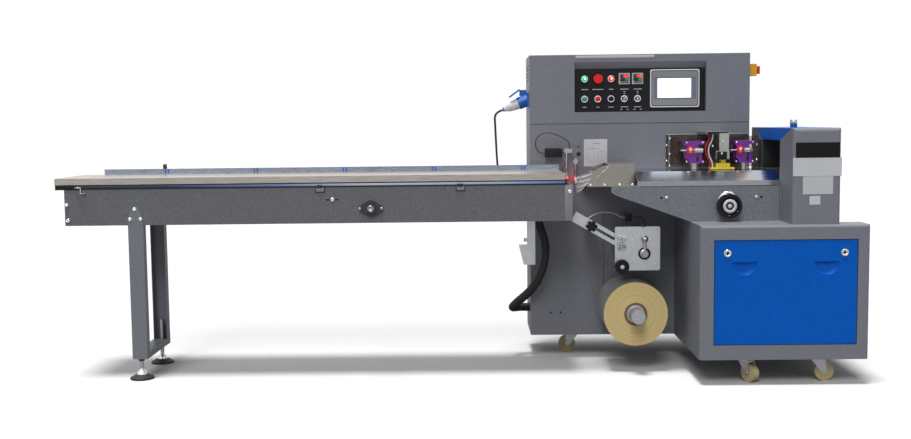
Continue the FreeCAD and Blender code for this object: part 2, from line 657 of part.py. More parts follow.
def isolator():
    """Main switch on the column's right side: a square body and a turning grip with its shaft in it."""
    middle_y = "cabinet_front + 45"
    middle_z = f"{CABINET_TOP} - 73"
    body = block("switch_body", (CABINET_RIGHT, f"{middle_y} - 26", f"{middle_z} - 26"), ("34", "52", "52"))
    bore = rod("switch_bore", (f"{CABINET_RIGHT} + 14", middle_y, middle_z), "6 + running_gap", "21", ALONG_X)
    keep("isolator_body", cut("switch_cut", body, bore))
    shaft = rod("switch_shaft", (f"{CABINET_RIGHT} + 15", middle_y, middle_z), "6", "21", ALONG_X)
    disc = rod("switch_disc", (f"{CABINET_RIGHT} + 35", middle_y, middle_z), "18", "5", ALONG_X)
    grip = block("switch_grip", (f"{CABINET_RIGHT} + 39", f"{middle_y} - 5", f"{middle_z} - 17"), ("14", "10", "34"))
    keep("isolator_knob", fuse("switch_knob", shaft, disc, grip))


def power_inlet():
    """Tilted appliance inlet on the column's left side with its hinged lid open and the connector pushed in."""
    flange = block(
        "inlet_flange_plate", ("cabinet_x - 8", f"{INLET_Y} - inlet_flange / 2", f"{INLET_Z} - inlet_flange / 2"),
        ("8", "inlet_flange", "inlet_flange"))
    tilt = Rotation(Vector(0, 1, 0), -90 - value("inlet_tilt"))
    shapes = (
        ("collar", 0, 27, 27, 46), ("nose", 46, 22, 17, 46), ("neck", 92, 17, 7, INLET_REACH - 92),
    )
    tools = []
    for name, start, radius, end, length in shapes:
        if radius == end:
            item = rod("inlet_" + name, ("0", "0", "0"), str(radius), str(length))
        else:
            item = taper("inlet_" + name, ("0", "0", "0"), str(radius), str(end), str(length))
        item.Placement = Placement(Vector(), tilt)
        bind(item, **{
            "Placement.Base.x": f"cabinet_x - 2 - {start} * cos(inlet_tilt * 1deg)", "Placement.Base.y": INLET_Y,
            "Placement.Base.z": f"{INLET_Z} - {start} * sin(inlet_tilt * 1deg)"})
        tools.append(item)
    hinge = block("lid_hinge", ("cabinet_x - 40", f"{INLET_Y} - 7", f"{INLET_Z} + 18"), ("32", "14", "26"))
    wall = block(
        "inlet_wall", ("cabinet_x", f"{INLET_Y} - inlet_flange", f"{INLET_Z} - inlet_flange"),
        ("inlet_flange", "2 * inlet_flange", "2 * inlet_flange"))
    lid = rod("lid_disc", ("0", "0", "0"), "29", "7")
    lid.Placement = Placement(Vector(), Rotation(Vector(0, 1, 0), -36))
    bind(lid, **{
        "Placement.Base.x": "cabinet_x - 60", "Placement.Base.y": INLET_Y, "Placement.Base.z": f"{INLET_Z} + 26"})
    keep("power_inlet", cut("inlet_cut", fuse("inlet_join", flange, *tools, hinge, lid), wall))


# ---------------------------------------------------------------- infeed conveyor


def channel(name, face, inward):
    """A beam folded to a C: web at the outer face, flanges pointing to the middle."""
    flange, skin = f"{inward} * beam_flange", f"{inward} * sheet"
    outline = (
        (face, BEAM_BOTTOM), (f"{face} + {flange}", BEAM_BOTTOM), (f"{face} + {flange}", f"{BEAM_BOTTOM} + sheet"),
        (f"{face} + {skin}", f"{BEAM_BOTTOM} + sheet"), (f"{face} + {skin}", f"{BEAM_TOP} - sheet"),
        (f"{face} + {flange}", f"{BEAM_TOP} - sheet"), (f"{face} + {flange}", BEAM_TOP), (face, BEAM_TOP),
    )
    return padded(name, "YZ", outline, "beam_x", "beam_length")


def conveyor_beams():
    """Front beam, and rear beam with the gland of the power lead on its outer face."""
    keep("conveyor_front_beam", channel("front_channel", CONVEYOR_FRONT, 1))
    rear = channel("rear_channel", CONVEYOR_REAR, -1)
    gland = rod("lead_gland", LEAD_GLAND, "lead_diameter", "10", ALONG_Y)
    keep("conveyor_rear_beam", fuse("rear_beam_join", rear, gland))


def conveyor_end_plates():
    """Plates that close the trough at both ends, the right one with a shelf for the conduit hose."""
    width = "conveyor_width - 2 * sheet"
    height = "beam_height - 2 * sheet"
    start = (f"{CONVEYOR_FRONT} + sheet", f"{BEAM_BOTTOM} + sheet")
    left = block("end_plate_left", ("beam_x", *start), ("4", width, height))
    right = block("end_plate_right", ("beam_x + beam_length - 4", *start), ("4", width, height))
    shelf = block(
        "hose_shelf", ("beam_x + beam_length - 200", f"{CONVEYOR_FRONT} + beam_flange", BEAM_BOTTOM),
        ("198", "conveyor_width - 2 * beam_flange", "2 * sheet"))
    collar = rod("hose_collar", HOSE_TOP, "hose_diameter / 2 + 5", "8")
    keep("conveyor_end_plates", group("end_plates", left, fuse("end_plate_join", right, shelf, collar)))


def conveyor_tray():
    """Stainless top with a folded lip in front and behind, a chain slot and two bars on the beams."""
    front, rear = f"({CONVEYOR_FRONT} - tray_overhang)", f"({CONVEYOR_REAR} + tray_overhang)"
    outline = (
        (front, "tray_top - tray_lip"), (f"{front} + sheet", "tray_top - tray_lip"),
        (f"{front} + sheet", "tray_top - sheet"), (f"{rear} - sheet", "tray_top - sheet"),
        (f"{rear} - sheet", "tray_top - tray_lip"), (rear, "tray_top - tray_lip"),
        (rear, "tray_top"), (front, "tray_top"),
    )
    top = padded("tray_fold", "YZ", outline, "tray_x", "tray_length")
    bars = [
        block(f"bar_{name}", ("tray_x", y, BEAM_TOP), ("tray_length", "underframe_width", "underframe_height"))
        for name, y in (("front", CONVEYOR_FRONT), ("rear", f"{CONVEYOR_REAR} - underframe_width"))]
    slot = block(
        "tray_gap", ("tray_x + 90", "line_y - tray_slot / 2", "tray_top - 2 * sheet"),
        ("tray_length - 180", "tray_slot", "4 * sheet"))
    keep("conveyor_tray", cut("tray_cut", fuse("tray_join", top, *bars), slot))


def chain_drive():
    """Pusher chain as one loop of links on two end sprockets, with a cross shaft in flange bearings."""
    middle_z = "(tray_top - chain_drop - sprocket_radius)"
    left, right = "(beam_x + chain_inset)", "(beam_x + beam_length - chain_inset)"
    half = "chain_height / 2"
    band = []
    for name, radius in (("outer", f"(sprocket_radius + {half})"), ("inner", f"(sprocket_radius - {half})")):
        start_y = "line_y - chain_width / 2" if name == "outer" else "line_y - chain_width"
        width = "chain_width" if name == "outer" else "2 * chain_width"
        ends = [rod(f"chain_{name}_{n}", (x, start_y, middle_z), radius, width, ALONG_Y)
                for n, x in enumerate((left, right))]
        run = block(f"chain_{name}_run", (left, start_y, f"{middle_z} - {radius}"), (
            f"{right} - {left}", width, f"2 * {radius}"))
        band.append(fuse(f"chain_{name}", run, *ends))
    loop = cut("chain_loop", *band)
    count = int((value(right) - value(left)) / value("chain_pitch"))
    gaps = []
    for side, z in (("top", f"{middle_z} + sprocket_radius + 2"), ("low", f"{middle_z} - sprocket_radius - {half} - 1")):
        first = block(
            f"link_gap_{side}", (f"{left} + chain_pitch / 4", "line_y - chain_width", z),
            ("chain_pitch / 2", "2 * chain_width", f"{half} - 1"))
        row = DOC.addObject("Part::Feature", f"link_gaps_{side}")
        DOC.recompute()
        row.Shape = Part.makeCompound(
            [first.Shape.translated(Vector(n * value("chain_pitch"), 0, 0)) for n in range(count)])
        gaps.append(row)
    chain = cut("chain_links", loop, *gaps)
    span = "conveyor_width - 2 * sheet"
    hubs = []
    for n, x in enumerate((left, right)):
        hubs.append(rod(
            f"sprocket{n}", (x, "line_y - 3", middle_z), f"sprocket_radius - {half} + 1", "6", ALONG_Y))
        hubs.append(rod(
            f"end_shaft{n}", (x, f"{CONVEYOR_FRONT} + sheet", middle_z), "shaft_radius", span, ALONG_Y))
    drive_radius = f"({middle_z} - sprocket_radius - {half} + 1 - {BEARING_Z})"
    hubs.append(rod("drive_sprocket", (BEARING_X, "line_y - 3", BEARING_Z), drive_radius, "6", ALONG_Y))
    hubs.append(rod(
        "drive_shaft", (BEARING_X, f"{CONVEYOR_FRONT} + sheet", BEARING_Z), "shaft_radius", span, ALONG_Y))
    keep("chain_drive", fuse("chain_drive_join", chain, *hubs))


def flange_bearings():
    """Two-bolt flange bearings of the cross shaft, one outside each beam."""
    bearings = []
    for name, y, inward in (("front", CONVEYOR_FRONT, 1), ("rear", CONVEYOR_REAR, -1)):
        base_start = f"{y} - 11" if inward > 0 else y
        outline = (
            (f"{BEARING_X} - bearing_length / 2", BEARING_Z),
            (BEARING_X, f"{BEARING_Z} + bearing_height / 2 + 9"),
            (f"{BEARING_X} + bearing_length / 2", BEARING_Z),
            (BEARING_X, f"{BEARING_Z} - bearing_height / 2 - 9"),
        )
        base = padded(f"bearing_base_{name}", "XZ", outline, base_start, "11")
        rounded(base, "11", lambda edge, point: straight(edge, Vector(0, 1, 0)) and near(point.z, BEARING_Z))
        rounded(base, "bearing_height / 2 - 4", lambda edge, point: straight(edge, Vector(0, 1, 0)) and near(
            point.x, BEARING_X))
        hub_start = f"{y} - 22" if inward > 0 else y
        hub = rod(f"bearing_hub_{name}", (BEARING_X, hub_start, BEARING_Z), "bearing_height / 2 - 8", "22", ALONG_Y)
        bore_start = f"{y} - 23" if inward > 0 else f"{y} + 12"
        bore = rod(f"bearing_bore_{name}", (BEARING_X, bore_start, BEARING_Z), "shaft_radius", "11", ALONG_Y)
        bearings.append(cut(f"bearing_{name}", fuse(f"bearing_join_{name}", base, hub), bore))
    keep("flange_bearings", group("bearings", *bearings))


def product_guide():
    """Angle that leads the products along the back of the tray."""
    face = f"({CONVEYOR_REAR} - guide_inset)"
    outline = (
        (face, "tray_top"), (f"{face} + 20", "tray_top"), (f"{face} + 20", "tray_top + sheet"),
        (f"{face} + sheet", "tray_top + sheet"), (f"{face} + sheet", "tray_top + guide_height"),
        (face, "tray_top + guide_height"),
    )
    keep("product_guide", padded("guide_angle", "YZ", outline, "tray_x + guide_start", "tray_length - guide_start"))


def leg(name, face, inward):
    """A channel leg, open to the middle, with a pointed tongue bolted on the beam's face."""
    outer = f"({face} - {inward} * sheet)"
    start = outer if inward > 0 else face
    middle = f"({LEG_LEFT} + leg_width / 2)"
    right = f"({LEG_LEFT} + leg_width)"
    shoulder = f"({BEAM_BOTTOM} + leg_tongue / 3)"
    tip = f"({BEAM_BOTTOM} + leg_tongue)"
    outline = (
        (LEG_LEFT, "leg_bottom"), (right, "leg_bottom"), (right, shoulder), (f"{middle} + leg_width / 6", tip),
        (f"{middle} - leg_width / 6", tip), (LEG_LEFT, shoulder),
    )
    web = padded(name + "_web", "XZ", outline, start, "sheet")
    rounded(web, "8", lambda edge, point: near(point.z, tip) and straight(edge, Vector(0, 1, 0)))
    depth_start = face if inward > 0 else f"{face} - leg_depth"
    height = f"{BEAM_BOTTOM} - leg_bottom"
    sides = [block(f"{name}_side{n}", (x, depth_start, "leg_bottom"), ("sheet", "leg_depth", height))
             for n, x in enumerate((LEG_LEFT, f"{right} - sheet"))]
    foot = block(f"{name}_sole", (LEG_LEFT, depth_start, "leg_bottom"), ("leg_width", "leg_depth", "2 * sheet"))
    bore = rod(
        f"{name}_bore", (middle, f"{face} + {inward} * leg_depth / 2", "leg_bottom - 1"), "stud_radius", "4 * sheet")
    return cut(name + "_cut", fuse(name + "_join", web, foot, *sides), bore)


def leg_frame():
    """Two legs and the shallow channel that ties their feet, welded into one frame."""
    front, rear = f"({CONVEYOR_FRONT} + leg_depth)", f"({CONVEYOR_REAR} - leg_depth)"
    left, right = LEG_LEFT, f"({LEG_LEFT} + leg_width)"
    outline = (
        (left, "leg_bottom"), (f"{left} + sheet", "leg_bottom"),
        (f"{left} + sheet", "leg_bottom + tie_height - sheet"), (f"{right} - sheet", "leg_bottom + tie_height - sheet"),
        (f"{right} - sheet", "leg_bottom"), (right, "leg_bottom"),
        (right, "leg_bottom + tie_height"), (left, "leg_bottom + tie_height"),
    )
    tie = padded("tie_fold", "XZ", outline, front, f"{rear} - {front}")
    legs = leg("front_leg", CONVEYOR_FRONT, 1), leg("rear_leg", CONVEYOR_REAR, -1)
    keep("leg_frame", fuse("leg_frame_join", tie, *legs))


def levelling_feet():
    """Threaded stud through the leg's sole, ball joint and round pad, one under each leg."""
    feet = []
    x = f"({LEG_LEFT} + leg_width / 2)"
    for name, y in (("front", f"{CONVEYOR_FRONT} + leg_depth / 2"), ("rear", f"{CONVEYOR_REAR} - leg_depth / 2")):
        pad = rod(f"foot_rim_{name}", (x, y, "0"), "foot_radius", "foot_height / 3")
        dome = taper(
            f"foot_dome_{name}", (x, y, "foot_height / 3"), "foot_radius", "foot_radius / 2", "foot_height * 2 / 3")
        joint = ball(f"foot_ball_{name}", (x, y, "foot_height + 6"), "13")
        stud = rod(f"foot_stud_{name}", (x, y, "foot_height"), "stud_radius", "stud_top - foot_height")
        feet.append(fuse(f"foot_{name}", pad, dome, joint, stud))
    keep("levelling_feet", group("feet", *feet))


def hanger_bracket():
    """Folded bar that hangs under the conveyor's right end, with a sprung bolt and a slanted guide plate."""
    x = "(beam_x + beam_length - 179)"
    y = "(line_y - 26)"
    top = f"({BEAM_BOTTOM})"
    drop = "193"
    bar = block("hanger_bar", (x, y, f"{top} - {drop}"), ("34", "3", drop))
    fold = block("hanger_fold", (f"{x} + 31", y, f"{top} - {drop}"), ("3", "26", drop))
    foot = block("hanger_top", (x, y, f"{top} - 3"), ("34", "26", "3"))
    bolt = rod("hanger_bolt", (f"{x} - 14", f"{y} + 10", f"{top} - 93"), "4", "46", ALONG_X)
    coils = [rod(f"hanger_coil{n}", (f"{x} - 12 + {n} * 9", f"{y} + 10", f"{top} - 93"), "9", "5", ALONG_X)
             for n in range(4)]
    outline = (
        (f"{x} - 36", f"{top} - 111"), (f"{x} - 16", f"{top} - {drop}"), (f"{x} + 33", f"{top} - {drop}"),
        (f"{x} + 4", f"{top} - 111"),
    )
    plate = padded("hanger_plate", "XZ", outline, f"{y} - 34", "34")
    keep("hanger_bracket", fuse("hanger_join", bar, fold, foot, bolt, *coils, plate))


# ---------------------------------------------------------------- film unwind


def tube(name, at, outer, inner, length):
    """A ring along +Y."""
    solid = rod(name + "_outer", at, outer, length, ALONG_Y)
    bore = rod(name + "_inner", (at[0], f"{at[1]} - 1", at[2]), inner, f"{length} + 2", ALONG_Y)
    return cut(name, solid, bore)


def film_unwind():
    """Film roll on a cardboard core, carried by a chuck that turns on a fixed spindle."""
    core_radius = "(core_bore + core_wall)"
    keep("film_roll", tube("film_ring", ("roll_x", ROLL_FRONT, "roll_z"), "roll_radius", core_radius, "film_width"))
    keep("roll_core", tube(
        "core_ring", ("roll_x", f"{ROLL_FRONT} - 2", "roll_z"), core_radius, "core_bore", "film_width + 4"))
    start = f"({ROLL_FRONT} - chuck_reach)"
    length = "(chuck_reach + film_width + chuck_back)"
    barrel = rod("chuck_barrel", ("roll_x", start, "roll_z"), "chuck_radius", length, ALONG_Y)
    collars = [rod(f"chuck_collar{n}", ("roll_x", y, "roll_z"), "core_bore", "18", ALONG_Y)
               for n, y in enumerate((f"{ROLL_FRONT} + 6", f"{ROLL_BACK} - 24"))]
    bore = rod(
        "chuck_bore", ("roll_x", f"{start} + 12", "roll_z"), "spindle_radius + running_gap", length, ALONG_Y)
    keep("roll_chuck", cut("chuck_cut", fuse("chuck_join", barrel, *collars), bore))
    spindle_start = f"({start} + 13)"
    spindle = rod(
        "spindle_bar", ("roll_x", spindle_start, "roll_z"), "spindle_radius", f"cabinet_front - {spindle_start}",
        ALONG_Y)
    flange_front = f"({ROLL_BACK} + chuck_back + 6)"
    flange = rod(
        "spindle_flange", ("roll_x", flange_front, "roll_z"), "2.6 * spindle_radius",
        f"cabinet_front - {flange_front}", ALONG_Y)
    keep("roll_spindle", fuse("spindle_join", spindle, flange))


def film_plate():
    """Aluminium plate on four stand-offs in front of the column, with the bore of the nip lever."""
    plate = padded("nip_plate", "XZ", (
        ("film_plate_x", "film_plate_z"), ("film_plate_x + film_plate_length", "film_plate_z"),
        ("film_plate_x + film_plate_length", "film_plate_z + film_plate_height"),
        ("film_plate_x", "film_plate_z + film_plate_height"),
    ), f"{FILM_PLATE_BACK} - film_plate_thickness", "film_plate_thickness")
    rounded(plate, "8", lambda edge, point: straight(edge, Vector(0, 1, 0)))
    lever_at = ("film_plate_x + lever_x", f"{FILM_PLATE_BACK} - film_plate_thickness - 1", "film_plate_z + lever_z")
    bore = rod("nip_bore", lever_at, "lever_bore + running_gap", "film_plate_thickness + 2", ALONG_Y)
    dish = rod("nip_dish", lever_at, "27", "5", ALONG_Y)
    inset_x, inset_z = ("18", "18")
    posts = []
    for n, (x, z) in enumerate((
            ("45", inset_z), (f"film_plate_length - {inset_x}", inset_z),
            (f"film_plate_length - {inset_x}", f"film_plate_height - {inset_z}"),
            ("80", f"film_plate_height - {inset_z}"))):
        posts.append(rod(
            f"stand_off{n}", (f"film_plate_x + {x}", FILM_PLATE_BACK, f"film_plate_z + {z}"), "9",
            "film_plate_reach", ALONG_Y))
    keep("film_plate", fuse("film_plate_join", cut("nip_plate_cut", plate, bore, dish), *posts))


def film_rollers():
    """Nip and guide rollers that run from behind the film plate to the column."""
    rollers = []
    for name, x, z, radius, start in (
            ("nip", "lever_x - 6", "lever_z + 54", "film_roller_radius + 5", "0"),
            ("drive", "38", "62", "film_roller_radius + 5", "0"),
            ("idler", "34", "132", "film_roller_radius - 4", "film_arm_thickness")):
        x, z = f"film_plate_x + {x}", f"film_plate_z + {z}"
        roller = rod(
            f"{name}_roller", (x, f"{FILM_PLATE_BACK} + {start} + 6", z), radius,
            f"film_plate_reach - {start} - 12", ALONG_Y)
        axle = rod(f"{name}_axle", (x, f"{FILM_PLATE_BACK} + {start}", z), "7", f"film_plate_reach - {start}", ALONG_Y)
        rollers.append(fuse(f"{name}_join", roller, axle))
    keep("film_rollers", group("nip_rollers", *rollers))


def film_arm():
    """Slotted arm behind the film plate with a guide roller clamped in its slot."""
    bar = block(
        "arm_bar", ("-film_arm_length", "0", "-film_arm_width / 2"),
        ("film_arm_length", "film_arm_thickness", "film_arm_width"))
    slot_length = "118"
    slot = block("arm_slot", (f"-{slot_length} - 40", "-1", "-6"), (slot_length, "film_arm_thickness + 2", "12"))
    ends = [rod(f"arm_slot_end{n}", (x, "-1", "0"), "6", "film_arm_thickness + 2", ALONG_Y)
            for n, x in enumerate((f"-{slot_length} - 40", "-40"))]
    arm = group("arm_turned", cut("arm_cut", bar, slot, *ends))
    arm.Placement = Placement(Vector(), Rotation(Vector(0, 1, 0), value("arm_angle")))
    reach = f"(({STAR_X} - film_plate_x - 30) / cos(arm_angle * 1deg))"
    bind(arm, **{
        "Placement.Base.x": "film_plate_x + 30", "Placement.Base.y": FILM_PLATE_BACK,
        "Placement.Base.z": f"{STAR_Z} + {reach} * sin(arm_angle * 1deg)"})
    roller = rod(
        "arm_roller", (STAR_X, f"{FILM_PLATE_BACK} + film_arm_thickness + 4", STAR_Z), "film_roller_radius",
        "film_width - 66", ALONG_Y)
    axle = rod("arm_axle", (STAR_X, FILM_PLATE_BACK, STAR_Z), "6", "film_arm_thickness + 8", ALONG_Y)
    keep("film_arm", fuse("film_arm_join", arm, axle, roller))


def film_knobs():
    """Six-lobed knob that clamps the arm's roller, and round knob at the film plate's lower left corner."""
    face = f"{FILM_PLATE_BACK} - 16"
    core = rod("star_core", (STAR_X, face, STAR_Z), "17", "16", ALONG_Y)
    lobes = []
    for n in range(6):
        angle = f"{n} * 60deg"
        lobes.append(rod(
            f"star_lobe{n}", (f"{STAR_X} + 17 * cos({angle})", face, f"{STAR_Z} + 17 * sin({angle})"), "7", "16",
            ALONG_Y))
    plate_face = f"({FILM_PLATE_BACK} - film_plate_thickness)"
    disc = rod(
        "round_knob", ("film_plate_x + 28", f"{plate_face} - 22", "film_plate_z + 18"), "29.5", "16", ALONG_Y)
    stem = rod("round_knob_stem", ("film_plate_x + 28", f"{plate_face} - 8", "film_plate_z + 18"), "12", "8", ALONG_Y)
    cap = rod("round_knob_cap", ("film_plate_x + 28", f"{plate_face} - 25", "film_plate_z + 18"), "15.5", "4", ALONG_Y)
    keep("film_knobs", group("knobs", fuse("star_knob", core, *lobes), fuse("round_knob_join", disc, stem, cap)))


def film_lever():
    """Nip lever: a shaft in the plate, a hub and a tapered arm with a ball."""
    x, z = "film_plate_x + lever_x", "film_plate_z + lever_z"
    face = f"({FILM_PLATE_BACK} - film_plate_thickness)"
    shaft = rod("lever_shaft", (x, f"{face} - 8", z), "lever_bore", "film_plate_thickness + 20", ALONG_Y)
    hub = rod("lever_hub", (x, f"{face} - 22", z), "13", "20", ALONG_Y)
    arm = taper("lever_arm", (x, f"{face} - 14", z), "8", "5", "lever_length")
    knob = ball("lever_knob", (x, f"{face} - 14", f"{z} + lever_length"), "lever_ball")
    keep("film_lever", fuse("lever_join", shaft, hub, arm, knob))


# ---------------------------------------------------------------- bed


def bed_plate():
    """Polished bed at the tray's level, with an apron that slopes to a folded lip on the front panel."""
    lip_top = "(bed_edge + bed_lip)"
    outline = (
        ("skirt_front", "bed_edge"), ("skirt_front + bed_thickness", "bed_edge"),
        ("skirt_front + bed_thickness", f"{lip_top} - bed_thickness"),
        ("skirt_front + bed_apron", f"{BED_LEVEL} - bed_thickness"), ("cabinet_front", f"{BED_LEVEL} - bed_thickness"),
        ("cabinet_front", BED_LEVEL), ("skirt_front + bed_apron", BED_LEVEL), ("skirt_front", lip_top),
    )
    start = "(box_x + box_length)"
    fold = padded("bed_fold", "YZ", outline, start, f"sealer_x - {start}")
    tongue = block(
        "bed_tongue", ("box_x + 20", "line_y - 60", f"{BED_LEVEL} - bed_thickness"),
        ("box_length - 15", "120", "bed_thickness"))
    keep("bed_plate", fuse("bed_join", fold, tongue))


def forming_box():
    """Hat-shaped tunnel that folds the film; its left edges are swept back."""
    front, rear = "(line_y - box_width / 2)", "(line_y + box_width / 2)"
    flange_top, top = "(bed_edge + sheet)", "(bed_edge + box_height)"
    outline = (
        ("skirt_front", "bed_edge"), (f"{front} + sheet", "bed_edge"), (f"{front} + sheet", f"{top} - sheet"),
        (f"{rear} - sheet", f"{top} - sheet"), (f"{rear} - sheet", "bed_edge"), ("cabinet_front", "bed_edge"),
        ("cabinet_front", flange_top), (rear, flange_top), (rear, top), (front, top), (front, flange_top),
        ("skirt_front", flange_top),
    )
    tunnel = padded("box_hat", "YZ", outline, "box_x", "box_length")
    sweep = padded("box_sweep_cut", "XZ", (
        ("box_x - 5", f"{flange_top} + 1"), ("box_x + 6", f"{flange_top} + 1"),
        ("box_x + box_sweep / 3", f"{top} - box_height / 4"), ("box_x + box_sweep", f"{top} + 1"),
        ("box_x - 5", f"{top} + 1"),
    ), f"{front} - 1", "box_width + 2")
    rounded(sweep, "60", lambda edge, point: straight(edge, Vector(0, 1, 0)) and near(
        point.x, "box_x + box_sweep / 3"))
    keep("forming_box", cut("box_cut", tunnel, sweep))


def bed_front_panel():
    """Panel under the bed's front edge, its lower edge rising to the left, with the handwheel's scale and boss."""
    outline = (
        ("skirt_x", "bed_edge"), ("skirt_x", "bed_edge - 24"), ("skirt_x + 23", "bed_edge - 38"),
        ("base_x", BASE_TOP), ("sealer_x", BASE_TOP), ("sealer_x", "bed_edge"),
    )
    panel = padded("skirt_sheet", "XZ", outline, "skirt_front", "3")
    scale = rod(
        "wheel_scale", ("wheel_x", "skirt_front - 4", "wheel_z + scale_offset"), "scale_radius", "4", ALONG_Y)
    boss = rod("wheel_boss", ("wheel_x", "skirt_front - boss_length", "wheel_z"), "20", "boss_length", ALONG_Y)
    bore = rod(
        "wheel_boss_bore", ("wheel_x", "skirt_front - boss_length - 1", "wheel_z"), "wheel_bore + running_gap",
        "boss_length + 6", ALONG_Y)
    keep("bed_front_panel", cut("skirt_cut", fuse("skirt_join", panel, scale, boss), bore))


def bed_handwheel():
    """Handwheel with a dished rim, a hub and a shaft."""
    back = "(skirt_front - boss_length - 5)"
    shaft = rod("wheel_shaft", ("wheel_x", back, "wheel_z"), "wheel_bore", "boss_length + 20", ALONG_Y)
    rim = rod("wheel_rim", ("wheel_x", f"{back} - wheel_width", "wheel_z"), "wheel_radius", "wheel_width", ALONG_Y)
    dish = rod(
        "wheel_dish", ("wheel_x", f"{back} - wheel_width - 1", "wheel_z"), "wheel_radius - 12", "wheel_width / 2",
        ALONG_Y)
    hub = rod("wheel_hub", ("wheel_x", f"{back} - wheel_width", "wheel_z"), "14", "wheel_width", ALONG_Y)
    keep("bed_handwheel", fuse("wheel_join", cut("wheel_cut", rim, dish), hub, shaft))


# ---------------------------------------------------------------- fin-seal unit


def head_middles():
    return (("left", "head_x"), ("right", "(head_x + head_pitch)"))


def seal_guard():
    """Smoked plate over the opening in the column, with holes for the arms of the sealing heads."""
    start = "(cabinet_front - guard_thickness)"
    plate = block("guard_plate", ("guard_x", start, GUARD_BOTTOM), ("guard_length", "guard_thickness", "guard_height"))
    holes = [rod(
        f"guard_hole_{name}", (f"{x} - 14", f"{start} - 1", f"{HEAD_BOTTOM} + head_height / 2 + 8"), "arm_radius + 3",
        "guard_thickness + 2", ALONG_Y) for name, x in head_middles()]
    keep("seal_guard", cut("guard_cut", plate, *holes))


def seal_heads():
    """Two gear heads: a deep block between a wide top flange and a bottom flange, slotted in front."""
    heads = []
    for name, x in head_middles():
        left, right = f"({x} - head_length / 2)", f"({x} + head_length / 2)"
        top = f"({HEAD_BOTTOM} + head_height)"
        outline = (
            (f"{left} + 16", HEAD_BOTTOM), (f"{right} - 3", HEAD_BOTTOM), (f"{right} - 3", f"{HEAD_BOTTOM} + 12"),
            (f"{right} - 12", f"{HEAD_BOTTOM} + 12"), (f"{right} - 12", f"{top} - 34"), (f"{x} + 12", f"{top} - 20"),
            (f"{x} + 12", f"{top} - 14"), (right, f"{top} - 14"), (right, top), (left, top), (left, f"{top} - 14"),
            (f"{left} + 6", f"{top} - 20"), (f"{left} + 6", f"{HEAD_BOTTOM} + 22"),
            (f"{left} + 16", f"{HEAD_BOTTOM} + 12"),
        )
        body = padded(f"head_{name}", "XZ", outline, "head_front", "head_depth")
        slot = block(
            f"head_slot_{name}", (f"{x} + 6", "head_front - 1", f"{HEAD_BOTTOM} + 18"),
            ("8", "22", "head_height / 3"))
        heads.append(cut(f"head_cut_{name}", body, slot))
    keep("seal_heads", group("heads", *heads))


def seal_rollers():
    """Grooved steel rollers under the heads, and the round arms that carry the heads."""
    items = []
    for name, x in head_middles():
        roller_x = f"({x} + 5)"
        middle_y = "(head_front + head_depth / 2)"
        bottom = f"({BED_LEVEL} + 2)"
        roller = rod(
            f"seal_roller_{name}", (roller_x, middle_y, bottom), "seal_roller_radius", f"{HEAD_BOTTOM} - {bottom}")
        groove = rod(f"roller_groove_{name}", (roller_x, middle_y, f"{bottom} + 11"), "30", "3")
        neck = rod(f"roller_neck_{name}", (roller_x, middle_y, f"{bottom} + 10"), "seal_roller_radius - 3", "5")
        items.append(fuse(f"roller_{name}", cut(f"roller_cut_{name}", roller, groove), neck))
        arm_start = "(head_front + head_depth)"
        items.append(rod(
            f"head_arm_{name}", (f"{x} - 14", arm_start, f"{HEAD_BOTTOM} + head_height / 2 + 8"), "arm_radius",
            f"cabinet_front + window_depth - {arm_start}", ALONG_Y))
    keep("seal_rollers", group("rollers", *items))


def release_levers():
    """Ball-ended release levers on a short cross shaft in front of each head."""
    levers = []
    for name, x in head_middles():
        z = f"{HEAD_BOTTOM} + head_height / 2 + 8"
        y = "(head_front - 9)"
        foot = block(f"release_foot_{name}", (f"{x} - 4", y, f"{z} - 9"), ("16", f"head_front - {y}", "18"))
        shaft = rod(f"release_shaft_{name}", (f"{x} - 8", y, z), "6.5", "37", ALONG_X)
        thin = rod(f"release_thin_{name}", (f"{x} - 62", y, z), "3.5", "56", ALONG_X)
        knob = ball(f"release_ball_{name}", (f"{x} - 22", f"{y} - 8", z), "lever_knob_radius")
        levers.append(fuse(f"release_{name}", foot, shaft, thin, knob))
    keep("release_levers", group("levers", *levers))


def heater():
    """Bracket from the column over the heads, its clear block, and the stepped shoe of the band heater."""
    middle_y = "(head_front + head_depth / 2 - 14)"
    guard_top = f"({GUARD_BOTTOM} + guard_height)"
    shoe_top = f"({BED_LEVEL} + 44)"
    tongue = block(
        "heater_tongue", ("heater_x - 21", f"{middle_y} - 30", guard_top), (
            "107", f"cabinet_front - {middle_y} + 30", "9"))
    post = block(
        "heater_post", ("heater_x + 36", f"{middle_y} - 18", f"{shoe_top} + 36"), (
            "38", "36", f"{guard_top} - {shoe_top} - 36"))
    carrier = block("heater_carrier", ("heater_x + 22", f"{middle_y} - 22", shoe_top), ("58", "44", "36"))
    keep("heater_bracket", fuse("heater_join", tongue, post, carrier))
    base = block("shoe_base", ("heater_x", f"{middle_y} - 26", f"{BED_LEVEL} + 2"), ("heater_length", "52", "8"))
    step = block("shoe_step", ("heater_x + 25", f"{middle_y} - 20", f"{BED_LEVEL} + 10"), ("57", "40", "17"))
    block_top = block("shoe_top", ("heater_x + 45", f"{middle_y} - 16", f"{BED_LEVEL} + 27"), ("21", "32", "17"))
    keep("heater_block", fuse("shoe_join", base, step, block_top))


